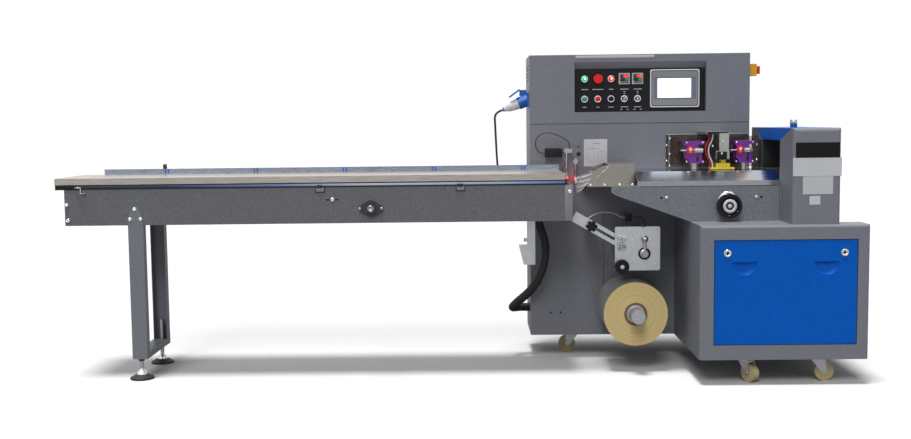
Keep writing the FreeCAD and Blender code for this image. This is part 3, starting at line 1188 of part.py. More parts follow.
def film_sensors():
    """Amplifier on the column, two clamped sensor rods over the film's path and a sensor over the film plate."""
    front = "cabinet_front"
    left = "(cabinet_x + 65)"
    amplifier = block("amplifier", (left, f"{front} - 32", "tray_top + 56"), ("72", "32", "37"))
    rod_y = f"({front} - 34)"
    tall = rod("rod_tall", (f"{left} + 92", rod_y, "tray_top - 36"), "4", "130")
    tall_pin = rod("pin_tall", (f"{left} + 92", f"{rod_y} + 10", "tray_top + 82"), "5", f"{front} - {rod_y} - 10", ALONG_Y)
    clamp = block("clamp_tall", (f"{left} + 82", f"{rod_y} - 10", "tray_top + 74"), ("34", "20", "18"))
    light = block("light_head", (f"{left} + 68", f"{rod_y} - 7", "tray_top - 26"), ("28", "14", "14"))
    short = rod("rod_short", (f"{left} + 131", rod_y, "tray_top - 48"), "4", "100")
    short_pin = rod("pin_short", (f"{left} + 131", f"{rod_y} + 7", "tray_top + 36"), "5", f"{front} - {rod_y} - 7", ALONG_Y)
    eye = rod("eye_short", (f"{left} + 131", f"{rod_y} - 8", "tray_top + 36"), "11", "15", ALONG_Y)
    lens = rod("lens_short", (f"{left} + 131", rod_y, "tray_top - 60"), "9", "26")
    web = block(
        "web_sensor", ("film_plate_x + 52", f"{FILM_PLATE_BACK} + 40", "film_plate_z + 202"), ("26", "34", "30"))
    web_post = rod(
        "web_post", ("film_plate_x + 65", f"{FILM_PLATE_BACK} + 73", "film_plate_z + 217"), "7",
        "film_plate_reach - 73", ALONG_Y)
    keep("film_sensors", group(
        "sensors", amplifier, fuse("tall_join", tall, tall_pin, clamp, light), fuse("short_join", short, short_pin,
                                                                                  eye, lens),
        fuse("web_join", web, web_post)))


# ---------------------------------------------------------------- end sealer


def end_sealer():
    """Covers in front of and behind the product tunnel, bridged by the hood, with the sealing jaws inside."""
    outline = (
        ("sealer_front", BASE_TOP), ("tunnel_front", BASE_TOP), ("tunnel_front", "tunnel_top"),
        ("sealer_front + cover_edge", "sealer_top"), ("sealer_front", "sealer_top"),
    )
    front = padded("cover_front", "YZ", outline, "sealer_x", "sealer_length")
    rounded(front, "cover_edge / 2", lambda edge, point: near(point.y, "sealer_front") and (
        near(point.z, "sealer_top") or straight(edge, Vector(0, 0, 1))))
    keep("end_seal_cover_front", front)
    rear_bevel = "(sealer_back - hood_bevel / 2)"
    outline = (
        ("tunnel_back", BASE_TOP), ("sealer_back", BASE_TOP), ("sealer_back", "sealer_top"),
        (rear_bevel, "sealer_top"), ("tunnel_back", "tunnel_top"),
    )
    keep("end_seal_cover_rear", padded("cover_rear", "YZ", outline, "sealer_x", "sealer_length"))
    outline = (
        ("tunnel_front", "tunnel_top"), ("tunnel_back", "tunnel_top"), (rear_bevel, "sealer_top"),
        ("sealer_front + cover_edge", "sealer_top"),
    )
    prism = padded("hood_prism", "YZ", outline, "sealer_x", "sealer_length")
    post = rod(
        "hood_post", ("sealer_x + sealer_length / 2", "(tunnel_front + tunnel_back) / 2", "sealer_top"),
        "pin_radius", "pin_height")
    keep("end_seal_hood", fuse("hood_join", prism, post))
    middle_x = "sealer_x + sealer_length / 2"
    jaws = []
    for name, z in (("lower", "tray_top - 42"), ("upper", "tray_top + 66")):
        shaft = rod(f"jaw_shaft_{name}", (middle_x, "tunnel_front", z), "16", "tunnel_back - tunnel_front", ALONG_Y)
        bar = block(
            f"jaw_bar_{name}", (f"{middle_x} - 15", "tunnel_front + 12", f"{z} - 38"),
            ("30", "tunnel_back - tunnel_front - 24", "76"))
        jaws.append(fuse(f"jaw_{name}", shaft, bar))
    keep("end_seal_jaws", group("jaws", *jaws))


# ---------------------------------------------------------------- castors

CASTORS = (
    # name, swivel axis x, swivel axis y, heading of the wheel in degrees
    ("front_left", f"({BASE_RIGHT} - 458)", "(front_y + 92)", -60),
    ("front_right", f"({BASE_RIGHT} - 172)", "(front_y + 92)", 0),
    ("rear_left", "(cabinet_x + 196)", "(cabinet_front + 143)", 180),
    ("rear_right", f"({BASE_RIGHT} - 172)", "(cabinet_front + 143)", 180),
)


def turned(name, items, x, y, heading):
    """Pieces of a castor set on its swivel axis and turned to its heading."""
    item = fuse(name, *items) if len(items) > 1 else group(name, *items)
    item.Placement = Placement(Vector(), Rotation(Vector(0, 0, 1), heading))
    item.setExpression("Placement.Base.x", ex(x))
    item.setExpression("Placement.Base.y", ex(y))
    return item


def castor(name, x, y, heading):
    """Swivel fork with two cheeks and an axle, and a wheel that runs on the axle."""
    half = "(castor_tread / 2 + castor_clear)"
    top = "(castor_height - castor_plate)"
    crown = rod(f"crown_{name}", ("0", "0", f"{top} - 14"), "27", "13")
    bridge = block(
        f"bridge_{name}", ("-castor_trail", f"-{half} - castor_cheek", f"{top} - 18"),
        ("2.2 * castor_trail", f"2 * ({half} + castor_cheek)", "5"))
    cheeks = []
    for side in (-1, 1):
        start = f"{half}" if side > 0 else f"-{half} - castor_cheek"
        outline = (
            ("-castor_trail", f"{top} - 13"), ("castor_trail - 9", "castor_wheel - 9"),
            ("castor_trail + 9", "castor_wheel - 9"), ("1.2 * castor_trail", f"{top} - 13"),
        )
        cheeks.append(padded(f"cheek_{name}{'b' if side > 0 else 'a'}", "XZ", outline, start, "castor_cheek"))
    axle = rod(
        f"axle_{name}", ("castor_trail", f"-{half} - castor_cheek - 3", "castor_wheel"), "castor_axle",
        f"2 * ({half} + castor_cheek + 3)", ALONG_Y)
    keep(f"castor_fork_{name}", turned(f"fork_{name}", [crown, bridge, axle] + cheeks, x, y, heading))
    tread = rod(
        f"tread_{name}", ("castor_trail", "-castor_tread / 2", "castor_wheel"), "castor_wheel", "castor_tread", ALONG_Y)
    bore = rod(
        f"wheel_bore_{name}", ("castor_trail", "-castor_tread", "castor_wheel"), "castor_axle + running_gap",
        "2 * castor_tread", ALONG_Y)
    keep(f"castor_wheel_{name}", turned(f"wheel_{name}", [cut(f"wheel_cut_{name}", tread, bore)], x, y, heading))
    return block(
        f"plate_{name}", (f"{x} - 38", f"{y} - 30", top), ("76", "60", "castor_plate"))


def castors():
    keep("castor_plates", group("plates", *[castor(*entry) for entry in CASTORS]))


def write_parts():
    """Checks every object and writes one file for each sub-part."""
    DOC.recompute()
    bad = [item.Name for item in DOC.Objects if {"Invalid", "Error"} & set(item.State)]
    bad += [item.Label for item in PIECES if item.Shape.isNull() or not item.Shape.isValid()]
    if bad:
        raise RuntimeError("these objects failed: " + ", ".join(bad))
    os.makedirs("parts", exist_ok=True)
    for item in PIECES:
        item.Shape.exportStep(f"parts/{item.Label}.step")


def main():
    base_housing()
    base_door()
    door_latches()
    cabinet_lower()
    cabinet_upper()
    control_panel()
    panel_controls()
    touch_screen()
    isolator()
    power_inlet()
    conveyor_beams()
    conveyor_end_plates()
    conveyor_tray()
    product_guide()
    chain_drive()
    flange_bearings()
    leg_frame()
    levelling_feet()
    hanger_bracket()
    film_unwind()
    film_plate()
    film_rollers()
    film_arm()
    film_knobs()
    film_lever()
    bed_plate()
    forming_box()
    bed_front_panel()
    bed_handwheel()
    seal_guard()
    seal_heads()
    seal_rollers()
    release_levers()
    heater()
    film_sensors()
    end_sealer()
    castors()
    power_lead()
    conduit_hose()
    sensor_cables()
    heater_leads()
    write_parts()


main()
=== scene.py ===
"""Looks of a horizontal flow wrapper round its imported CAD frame."""

import math
import random

import bmesh
import bpy
from mathutils import Matrix, Vector

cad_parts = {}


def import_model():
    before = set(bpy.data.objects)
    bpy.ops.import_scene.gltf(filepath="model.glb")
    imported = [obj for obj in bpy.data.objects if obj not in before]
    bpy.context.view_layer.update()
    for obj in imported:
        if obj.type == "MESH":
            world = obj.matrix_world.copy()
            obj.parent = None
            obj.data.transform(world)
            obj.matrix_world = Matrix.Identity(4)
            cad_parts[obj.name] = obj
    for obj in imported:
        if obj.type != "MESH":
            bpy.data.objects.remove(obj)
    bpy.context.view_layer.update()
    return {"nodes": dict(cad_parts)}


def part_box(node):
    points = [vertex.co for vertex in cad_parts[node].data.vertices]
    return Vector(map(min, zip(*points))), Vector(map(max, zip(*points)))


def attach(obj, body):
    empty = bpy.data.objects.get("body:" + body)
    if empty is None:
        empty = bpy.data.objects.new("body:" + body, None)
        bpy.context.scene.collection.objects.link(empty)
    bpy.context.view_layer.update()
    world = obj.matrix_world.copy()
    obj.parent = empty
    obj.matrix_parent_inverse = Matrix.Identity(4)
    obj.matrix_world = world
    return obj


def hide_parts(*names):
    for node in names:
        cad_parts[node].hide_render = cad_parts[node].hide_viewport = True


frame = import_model()
NODES = frame["nodes"]
MM = 0.001
MACHINE = "machine"
FRONT = (0, -1, 0)
UP = (0, 0, 1)


def mm(*numbers):
    """A point given in millimetres, in metres."""
    return Vector([n * MM for n in numbers])


# ---------------------------------------------------------------- camera


CAMERA_AT = (0.0731, -4.802, 1.0541)
YAW, PITCH, ROLL = 0.0138, 0.0876, 0.0116
FOCAL_PIXELS, PHOTO_WIDTH = 1124.3, 911


def make_camera():
    """Camera at the photograph's place and angle."""
    level = Vector((-math.sin(YAW), math.cos(YAW), 0))
    right = Vector((math.cos(YAW), math.sin(YAW), 0))
    forward = level * math.cos(PITCH) - Vector((0, 0, math.sin(PITCH)))
    up = level * math.sin(PITCH) + Vector((0, 0, math.cos(PITCH)))
    turned_right = right * math.cos(ROLL) - up * math.sin(ROLL)
    turned_up = right * math.sin(ROLL) + up * math.cos(ROLL)
    data = bpy.data.cameras.new("camera")
    data.sensor_width = 36
    data.lens = FOCAL_PIXELS / PHOTO_WIDTH * data.sensor_width
    data.clip_end = 200
    camera = bpy.data.objects.new("camera", data)
    axes = Matrix((turned_right, turned_up, -forward)).transposed().to_4x4()
    camera.matrix_world = Matrix.Translation(CAMERA_AT) @ axes
    bpy.context.scene.collection.objects.link(camera)
    bpy.context.scene.camera = camera


# ---------------------------------------------------------------- materials


def shader(name):
    """A new material with its nodes, its links and its main shader."""
    material = bpy.data.materials.new(name)
    material.use_nodes = True
    nodes = material.node_tree.nodes
    return material, nodes, material.node_tree.links, nodes["Principled BSDF"]


def set_inputs(made, **inputs):
    """Sets sockets of a node, the spaces of their names written as underscores."""
    for name, value in inputs.items():
        made.inputs[name.replace("_", " ")].default_value = value
    return made


def new_node(nodes, kind, operation=None, **inputs):
    """A new node with some of its sockets set."""
    made = nodes.new(kind)
    if operation:
        made.operation = operation
    return set_inputs(made, **inputs)


def tint(colour, factor):
    """A colour made darker or lighter, with full alpha."""
    return tuple(min(1.0, c * factor) for c in colour) + (1.0,)


def surface(name, colour, rough=0.5, metal=0.0, grain=0.12, scale=260.0, stretch=(1, 1, 1), bump=0.15,
            bump_depth=0.0004, cloud=0.06, rough_swing=0.06, coat=0.0, specular=0.5, glow=None, alpha=1.0,
            cells=False):
    """Material with a fine grain, a slow cloud of tone, uneven roughness and a fine bump, in object space."""
    material, nodes, links, bsdf = shader(name)
    where = nodes.new("ShaderNodeTexCoord")
    mapping = new_node(nodes, "ShaderNodeMapping", Scale=stretch)
    fine = new_node(nodes, "ShaderNodeTexNoise", Scale=scale, Detail=3)
    slow = new_node(nodes, "ShaderNodeTexNoise", Scale=3.1, Detail=4)
    ramp = nodes.new("ShaderNodeValToRGB")
    for element, position, factor in zip(ramp.color_ramp.elements, (0.32, 0.68), (1 - grain, 1 + grain)):
        element.position, element.color = position, tint(colour, factor)
    tone = new_node(nodes, "ShaderNodeMapRange", To_Min=1 - cloud, To_Max=1 + cloud)
    mix = new_node(nodes, "ShaderNodeVectorMath", "SCALE")
    swing = new_node(nodes, "ShaderNodeMapRange", To_Min=max(0.02, rough - rough_swing),
                     To_Max=min(1.0, rough + rough_swing))
    bumps = new_node(nodes, "ShaderNodeBump", Strength=bump, Distance=bump_depth)
    height = fine.outputs["Fac"]
    if cells:
        cell = new_node(nodes, "ShaderNodeTexVoronoi", Scale=scale * 0.8)
        links.new(mapping.outputs["Vector"], cell.inputs["Vector"])
        height = cell.outputs["Distance"]
    for output, socket in (
            (where.outputs["Object"], mapping.inputs["Vector"]), (where.outputs["Object"], slow.inputs["Vector"]),
            (mapping.outputs["Vector"], fine.inputs["Vector"]), (fine.outputs["Fac"], ramp.inputs["Fac"]),
            (slow.outputs["Fac"], tone.inputs["Value"]), (ramp.outputs["Color"], mix.inputs[0]),
            (tone.outputs["Result"], mix.inputs["Scale"]), (mix.outputs["Vector"], bsdf.inputs["Base Color"]),
            (fine.outputs["Fac"], swing.inputs["Value"]), (swing.outputs["Result"], bsdf.inputs["Roughness"]),
            (height, bumps.inputs["Height"]), (bumps.outputs["Normal"], bsdf.inputs["Normal"])):
        links.new(output, socket)
    set_inputs(bsdf, Metallic=metal, Coat_Weight=coat, Coat_Roughness=0.12, Specular_IOR_Level=specular, Alpha=alpha)
    if glow:
        colour_of_glow, strength = glow
        set_inputs(bsdf, Emission_Color=(*colour_of_glow, 1), Emission_Strength=strength)
    return material


HAMMER = {"rough": 0.46, "grain": 0.24, "scale": 250, "bump": 0.22, "bump_depth": 0.0005, "cells": True, "cloud": 0.04}
MATS = {
    "hammer": surface("hammer_grey", (0.205, 0.214, 0.248), **HAMMER),
    # The beam's hammer grey is the same paint made darker: painted shade under the overhanging tray.
    "beam_hammer_painted_shade": surface("hammer_grey_painted_shade_beam", (0.142, 0.146, 0.162), **HAMMER),
    "grey_smooth": surface("smooth_grey", (0.26, 0.265, 0.285), 0.38, grain=0.10, scale=330, bump=0.12),
    "blue": surface("blue_paint", (0.0, 0.120, 0.60), 0.40, grain=0.16, scale=250, bump=0.16, specular=0.14),
    "purple": surface("purple_paint", (0.20, 0.018, 0.33), 0.32, grain=0.10, scale=300, bump=0.12, coat=0.2),
    "bed": surface("polished_stainless", (0.47, 0.49, 0.53), 0.16, 1.0, grain=0.08, scale=500,
                   stretch=(0.04, 1, 1), bump=0.10, bump_depth=0.0003, cloud=0.15, rough_swing=0.08),
    "former": surface("former_stainless", (0.33, 0.315, 0.29), 0.34, 1.0, grain=0.08, scale=600,
                      stretch=(1, 1, 0.05), bump=0.08, bump_depth=0.0002, rough_swing=0.08),
    "wrapped": surface("filmed_stainless", (0.25, 0.285, 0.365), 0.28, 0.85, grain=0.14, scale=140,
                       stretch=(0.15, 1, 1), bump=0.45, bump_depth=0.0012, cloud=0.15, rough_swing=0.12, coat=0.6),
    "tray": surface("tray_stainless", (0.48, 0.445, 0.405), 0.38, 0.75, grain=0.12, scale=260,
                    stretch=(0.06, 1, 1), bump=0.12, bump_depth=0.0004, cloud=0.12, rough_swing=0.10),
    "steel": surface("turned_steel", (0.45, 0.44, 0.43), 0.28, 1.0, grain=0.10, scale=700, stretch=(1, 0.1, 1),
                     bump=0.12, bump_depth=0.0002, rough_swing=0.10),
    "chrome": surface("chrome", (0.78, 0.78, 0.78), 0.10, 1.0, grain=0.04, scale=300, bump=0.04, cloud=0.03,
                      rough_swing=0.04),
    "aluminium": surface("milled_aluminium", (0.60, 0.62, 0.65), 0.36, 0.9, grain=0.08, scale=520,
                         stretch=(1, 1, 0.1), bump=0.12, bump_depth=0.0002, cloud=0.06, rough_swing=0.10),
    "zinc": surface("zinc_plate", (0.52, 0.53, 0.56), 0.34, 0.9, grain=0.14, scale=200, bump=0.15, cloud=0.12,
                    rough_swing=0.12),
    "black": surface("black_plastic", (0.010, 0.010, 0.012), 0.46, grain=0.25, scale=300, bump=0.15, specular=0.22),
    "black_gloss": surface("black_gloss", (0.010, 0.010, 0.012), 0.16, grain=0.20, scale=300, bump=0.05, coat=0.3),
    "panel": surface("panel_film", (0.012, 0.012, 0.016), 0.42, grain=0.20, scale=300, bump=0.10, specular=0.20),
    "rubber": surface("black_rubber", (0.014, 0.014, 0.015), 0.62, grain=0.25, scale=300, bump=0.25),
    "red": surface("red_plastic", (0.85, 0.024, 0.020), 0.38, grain=0.08, scale=200, bump=0.06, specular=0.30),
    "orange": surface("orange_plastic", (0.85, 0.40, 0.02), 0.34, grain=0.08, scale=200, bump=0.06),
    "yellow": surface("yellow_plastic", (0.80, 0.62, 0.035), 0.34, grain=0.10, scale=260, bump=0.10),
    "white": surface("white_plastic", (0.72, 0.73, 0.76), 0.40, grain=0.05, scale=260, bump=0.08),
    "socket_blue": surface("socket_blue", (0.010, 0.12, 0.50), 0.34, grain=0.08, scale=260, bump=0.08),
    "plate": surface("blank_plate", (0.66, 0.67, 0.70), 0.45, grain=0.04, scale=260, bump=0.06),
    "plate_black": surface("black_plate", (0.008, 0.008, 0.009), 0.5, grain=0.15, scale=300, bump=0.06,
                           specular=0.15),
    "plate_silver": surface("silver_plate", (0.58, 0.59, 0.62), 0.34, 0.7, grain=0.06, scale=600, bump=0.06),
    "line": surface("plate_line", (0.20, 0.21, 0.24), 0.50, grain=0.10, scale=260),
    "mark": surface("panel_mark", (0.60, 0.61, 0.64), 0.50, grain=0.10, scale=900),
    "tyre": surface("cast_nylon", (0.66, 0.54, 0.27), 0.46, grain=0.14, scale=180, bump=0.15, cloud=0.12),
    "core": surface("cardboard_core", (0.17, 0.115, 0.065), 0.80, grain=0.15, scale=240, bump=0.25, cloud=0.10),
    "cast": surface("cast_black", (0.030, 0.031, 0.034), 0.50, grain=0.22, scale=240, bump=0.30),
    # Near-black for dark seams and joints, also used as painted shade in holes, slots and the gap under the tray lip.
    "dark": surface("dark_joints_and_painted_shade", (0.012, 0.012, 0.013), 0.70, grain=0.30, scale=90, bump=0.25),
    "green_lamp": surface("green_lamp", (0.01, 0.55, 0.28), 0.25, grain=0.05, scale=120,
                          glow=((0.03, 1.0, 0.42), 0.45)),
    "red_lamp": surface("red_lamp", (0.80, 0.03, 0.03), 0.25, grain=0.05, scale=120,
                        glow=((1.0, 0.04, 0.04), 0.6)),
    "lamp_core": surface("lamp_core", (1.0, 0.9, 0.8), 0.3, grain=0.03, scale=120, glow=((1.0, 0.97, 0.92), 2.0)),
    "green_button": surface("green_button", (0.012, 0.34, 0.27), 0.30, grain=0.08, scale=200, bump=0.06),
    "screen_bezel": surface("screen_bezel", (0.30, 0.31, 0.33), 0.34, grain=0.08, scale=600, bump=0.06),
    "screen_edge": surface("screen_edge", (0.16, 0.20, 0.26), 0.20, grain=0.08, scale=300, bump=0.03),
    "screen_lit": surface("screen_lit", (0.85, 0.88, 0.92), 0.18, grain=0.03, scale=60,
                          glow=((0.86, 0.92, 1.0), 0.95)),
    "bronze": surface("bronze_inside", (0.115, 0.088, 0.068), 0.55, grain=0.30, scale=90, bump=0.2, cloud=0.25),
    "screw": surface("bright_screw", (0.86, 0.86, 0.86), 0.25, 0.6, grain=0.05, scale=300, bump=0.05),
    "laser": surface("red_led", (0.9, 0.05, 0.03), 0.3, grain=0.05, scale=120, glow=((1.0, 0.06, 0.04), 3.0)),
}


ROLL_AXIS = (0.753, 0.0, 0.246)


def roll_material():
    """Wound film: grey round its side, yellow with fine layer lines round the axis on its ends."""
    material, nodes, links, bsdf = shader("wound_film")
    where = nodes.new("ShaderNodeTexCoord")
    shift = new_node(nodes, "ShaderNodeVectorMath", "SUBTRACT")
    shift.inputs[1].default_value = ROLL_AXIS
    links.new(where.outputs["Object"], shift.inputs[0])
    flat = new_node(nodes, "ShaderNodeVectorMath", "MULTIPLY")
    flat.inputs[1].default_value = (1, 0, 1)
    links.new(shift.outputs["Vector"], flat.inputs[0])
    reach = new_node(nodes, "ShaderNodeVectorMath", "LENGTH")
    links.new(flat.outputs["Vector"], reach.inputs[0])
    layers = new_node(nodes, "ShaderNodeTexNoise", Scale=420, Detail=4)
    layers.noise_dimensions = "1D"
    links.new(reach.outputs["Value"], layers.inputs["W"])
    ramp = nodes.new("ShaderNodeValToRGB")
    for element, (position, colour) in zip(ramp.color_ramp.elements, (
            (0.30, (0.52, 0.37, 0.12, 1)), (0.72, (0.92, 0.74, 0.37, 1)))):
        element.position, element.color = position, colour
    links.new(layers.outputs["Fac"], ramp.inputs["Fac"])
    parts = nodes.new("ShaderNodeSeparateXYZ")
    links.new(where.outputs["Normal"], parts.inputs["Vector"])
    end = new_node(nodes, "ShaderNodeMath", "ABSOLUTE")
    links.new(parts.outputs["Y"], end.inputs[0])
    tone = nodes.new("ShaderNodeMix")
    tone.data_type = "RGBA"
    tone.inputs["A"].default_value = (0.270, 0.262, 0.255, 1)
    links.new(end.outputs["Value"], tone.inputs["Factor"])
    links.new(ramp.outputs["Color"], tone.inputs["B"])
    links.new(tone.outputs["Result"], bsdf.inputs["Base Color"])
    bump = new_node(nodes, "ShaderNodeBump", Strength=0.25, Distance=0.0006)
    links.new(layers.outputs["Fac"], bump.inputs["Height"])
    links.new(bump.outputs["Normal"], bsdf.inputs["Normal"])
    set_inputs(bsdf, Roughness=0.28, Coat_Weight=0.35)
    return material


def strip_material():
    """Blue-white protective film along the beam, dark blue at the infeed end."""
    material = surface("beam_film_strip", (0.5, 0.6, 0.9), 0.22, grain=0.10, scale=200, coat=0.5)
    nodes, links = material.node_tree.nodes, material.node_tree.links
    where = nodes.new("ShaderNodeTexCoord")
    parts = nodes.new("ShaderNodeSeparateXYZ")
    links.new(where.outputs["Object"], parts.inputs["Vector"])
    along = new_node(nodes, "ShaderNodeMapRange", From_Min=-1.6, From_Max=0.5)
    links.new(parts.outputs["X"], along.inputs["Value"])
    ramp = nodes.new("ShaderNodeValToRGB")
    stops = ((0.0, (0.004, 0.006, 0.012)), (0.20, (0.010, 0.030, 0.110)), (0.42, (0.17, 0.26, 0.62)),
             (0.60, (0.66, 0.72, 0.90)), (0.85, (0.50, 0.62, 0.95)), (1.0, (0.05, 0.16, 0.70)))
    while len(ramp.color_ramp.elements) < len(stops):
        ramp.color_ramp.elements.new(0.5)
    for element, (position, colour) in zip(ramp.color_ramp.elements, stops):
        element.position, element.color = position, (*colour, 1)
    links.new(along.outputs["Result"], ramp.inputs["Fac"])
    links.new(ramp.outputs["Color"], nodes["Principled BSDF"].inputs["Base Color"])
    return material


def clear_material(name, colour, alpha, rough):
    """Thin clear sheet: faint tint, strong highlights, uneven creases."""
    return surface(name, colour, rough, grain=0.10, scale=60, bump=0.8, bump_depth=0.003, cloud=0.10,
                   rough_swing=0.08, specular=0.8, alpha=alpha)


MATS["film_roll"] = roll_material()
MATS["smoked"] = clear_material("smoked_acrylic", (0.085, 0.055, 0.042), 0.42, 0.10)
MATS["film_strip"] = strip_material()
MATS["clear_film"] = clear_material("clear_film", (0.80, 0.80, 0.80), 0.34, 0.12)
MATS["clear_block"] = clear_material("clear_block", (0.62, 0.64, 0.60), 0.60, 0.14)

NODE_MATERIALS = {
    "base_door": "blue", "end_seal_hood": "blue", "door_latches": "chrome",
    "control_panel": "panel", "touch_screen": "screen_bezel", "panel_buttons": "chrome", "emergency_stop": "red",
    "temperature_controllers": "white", "isolator_body": "orange", "isolator_knob": "red",
    "power_inlet": "socket_blue", "conveyor_tray": "tray", "product_guide": "wrapped", "chain_drive": "steel",
    "flange_bearings": "cast", "levelling_feet": "rubber", "hanger_bracket": "aluminium",
    "film_roll": "film_roll", "roll_core": "core", "roll_chuck": "zinc", "roll_spindle": "steel",
    "film_plate": "aluminium", "film_lever": "steel", "film_arm": "aluminium", "film_rollers": "steel",
    "film_knobs": "black", "film_sensors": "steel", "bed_plate": "bed", "forming_box": "former",
    "bed_handwheel": "black", "seal_guard": "smoked", "seal_heads": "purple", "seal_rollers": "steel",
    "release_levers": "steel", "heater_bracket": "former", "heater_block": "yellow", "end_seal_jaws": "dark",
    # The front beam takes the darker copy of the hammer grey, painted shade under the tray.
    "castor_plates": "zinc", "conveyor_front_beam": "beam_hammer_painted_shade",
}


def finish_nodes():
    """Gives every CAD node its material."""
    for name, item in NODES.items():
        if name.startswith("castor_wheel"):
            key = "tyre"
        elif name.startswith("castor_fork"):
            key = "zinc"
        else:
            key = NODE_MATERIALS.get(name, "hammer")
        item.data.materials.clear()
        item.data.materials.append(MATS[key])


# ---------------------------------------------------------------- pieces


def settle(item, material, body=MACHINE):
    """Links a piece, rides it on its body and gives it its finish."""
    if item.name not in bpy.context.scene.collection.all_objects:
        bpy.context.scene.collection.objects.link(item)
    if isinstance(item.data, bpy.types.Mesh):
        item.data.polygons.foreach_set("use_smooth", [True] * len(item.data.polygons))
    item.data.materials.clear()
    item.data.materials.append(MATS[material])
    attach(item, body)
    return item


def piece(name, mesh, material, body=MACHINE):
    """A new mesh piece from a bmesh, its sharp edges kept sharp."""
    for edge in mesh.edges:
        if len(edge.link_faces) == 2 and edge.calc_face_angle(0) > math.radians(38):
            edge.smooth = False
    data = bpy.data.meshes.new(name)
    mesh.to_mesh(data)
    mesh.free()
    return settle(bpy.data.objects.new(name, data), material, body)


def facing(at, along, up=None):
    """Matrix with its +Z along a direction, at a point."""
    along = Vector(along).normalized()
    up = Vector(up) if up else (Vector((0, 0, 1)) if abs(along.z) < 0.9 else Vector((0, 1, 0)))
    side = up.cross(along).normalized()
    return Matrix.Translation(at) @ Matrix((side, along.cross(side), along)).transposed().to_4x4()


def add_lathe(mesh, profile, at, along, sides=24):
    """Adds a turned form: profile is radius and distance along the axis, closed where the radius is 0."""
    place = facing(at, along)
    rings = []
    for radius, distance in profile:
        if radius < 1e-7:
            rings.append([mesh.verts.new(place @ Vector((0, 0, distance)))])
        else:
            rings.append([mesh.verts.new(place @ Vector((
                radius * math.cos(2 * math.pi * n / sides), radius * math.sin(2 * math.pi * n / sides), distance)))
                for n in range(sides)])
    for low, high in zip(rings, rings[1:]):
        for n in range(sides):
            corners = [low[n % len(low)], low[(n + 1) % len(low)],
                       high[(n + 1) % len(high)], high[n % len(high)]]
            unique = list(dict.fromkeys(corners))
            if len(unique) > 2:
                mesh.faces.new(unique)


def add_box(mesh, low, high, bevel=0.0006):
    """Adds a box with its edges rounded off."""
    low, high = Vector(low), Vector(high)
    made = bmesh.ops.create_cube(mesh, size=1.0)["verts"]
    size, middle = high - low, (high + low) / 2
    for vert in made:
        vert.co = Vector([vert.co[n] * size[n] for n in range(3)]) + middle
    edges = list({edge for vert in made for edge in vert.link_edges})
    bmesh.ops.bevel(mesh, geom=edges, offset=min(bevel, min(size) * 0.3), segments=2, affect="EDGES", profile=0.6)


def add_slab(mesh, outline, place, depth, bevel=0.0):
    """Adds a flat outline with a thickness, in the plane of a matrix."""
    front = [mesh.verts.new(place @ Vector((x, y, depth))) for x, y in outline]
    back = [mesh.verts.new(place @ Vector((x, y, 0))) for x, y in outline]
    face = mesh.faces.new(front)
    mesh.faces.new(list(reversed(back)))
    for n in range(len(outline)):
        m = (n + 1) % len(outline)
        mesh.faces.new((back[n], back[m], front[m], front[n]))
    if bevel:
        bmesh.ops.bevel(mesh, geom=list(face.edges), offset=bevel, segments=2, affect="EDGES")


def rounded_outline(width, height, radius, steps=5):
    """Points of a rectangle with round corners, about its middle."""
    points = []
    for cx, cy, start in ((1, 1, 0), (-1, 1, 90), (-1, -1, 180), (1, -1, 270)):
        for n in range(steps + 1):
            angle = math.radians(start + 90 * n / steps)
            points.append((cx * (width / 2 - radius) + radius * math.cos(angle),
                           cy * (height / 2 - radius) + radius * math.sin(angle)))
    return points


def front_plate(name, x, z, width, height, face, material, radius=1.0, depth=0.8):
    """A thin plate on a front face: middle x and z, in millimetres."""
    mesh = bmesh.new()
    outline = [(px * MM, py * MM) for px, py in rounded_outline(width, height, radius, 3)]
    add_slab(mesh, outline, facing(mm(x, face, z), FRONT), depth * MM, 0.0002)
    return piece(name, mesh, material)


SCREW_HEAD = ((0.0, 0.42), (0.28, 0.42), (0.30, 0.75), (0.52, 0.82), (0.80, 0.66), (1.0, 0.32), (1.0, 0.0))
DOME = ((0.0, 1.0), (0.45, 0.92), (0.8, 0.62), (1.0, 0.0))


def sized(shares, radius, height):
    """A profile given in shares of its radius and height, in millimetres."""
    return [(r * radius, h * height) for r, h in shares]


def turned(mesh, profile, place, along=FRONT, sides=24):
    """Adds a turned form whose profile and place are in millimetres."""
    add_lathe(mesh, [(radius * MM, distance * MM) for radius, distance in profile], mm(*place), along, sides)


def turned_piece(name, profile, places, material, along=FRONT, sides=24, body=MACHINE):
    """Like turned forms as one piece."""
    mesh = bmesh.new()
    for place in places:
        turned(mesh, profile, place, along, sides)
    return piece(name, mesh, material, body)


def box_piece(name, boxes, bevel, material):
    """Boxes as one piece, each from its low to its high corner in millimetres."""
    mesh = bmesh.new()
    for low, high in boxes:
        add_box(mesh, mm(*low), mm(*high), bevel * MM)
    return piece(name, mesh, material)


def screws(name, places, radius, height, material="screw"):
    """Pan-head screws with a socket, at places in millimetres on a front face."""
    return turned_piece(name, sized(SCREW_HEAD, radius, height), places, material, sides=12)


# ---------------------------------------------------------------- cords

INLET = (332, 230, 1143)
INLET_TILT = math.radians(21)
CONNECTOR_REACH = 124
LEAD_TIP = Vector((INLET[0] - CONNECTOR_REACH * math.cos(INLET_TILT), INLET[1],
                   INLET[2] - CONNECTOR_REACH * math.sin(INLET_TILT)))
LEAD_ALONG = Vector((-math.cos(INLET_TILT), 0, -math.sin(INLET_TILT)))
LEAD_GLAND = Vector((205, 130, 716))
HOSE_TOP = Vector((364, 30, 634))
HOSE_WALL = Vector((334, 215.5, 215))


def route(start, *offsets):
    """Points in metres at offsets in millimetres from a start."""
    return [(start + Vector(offset)) * MM for offset in offsets]


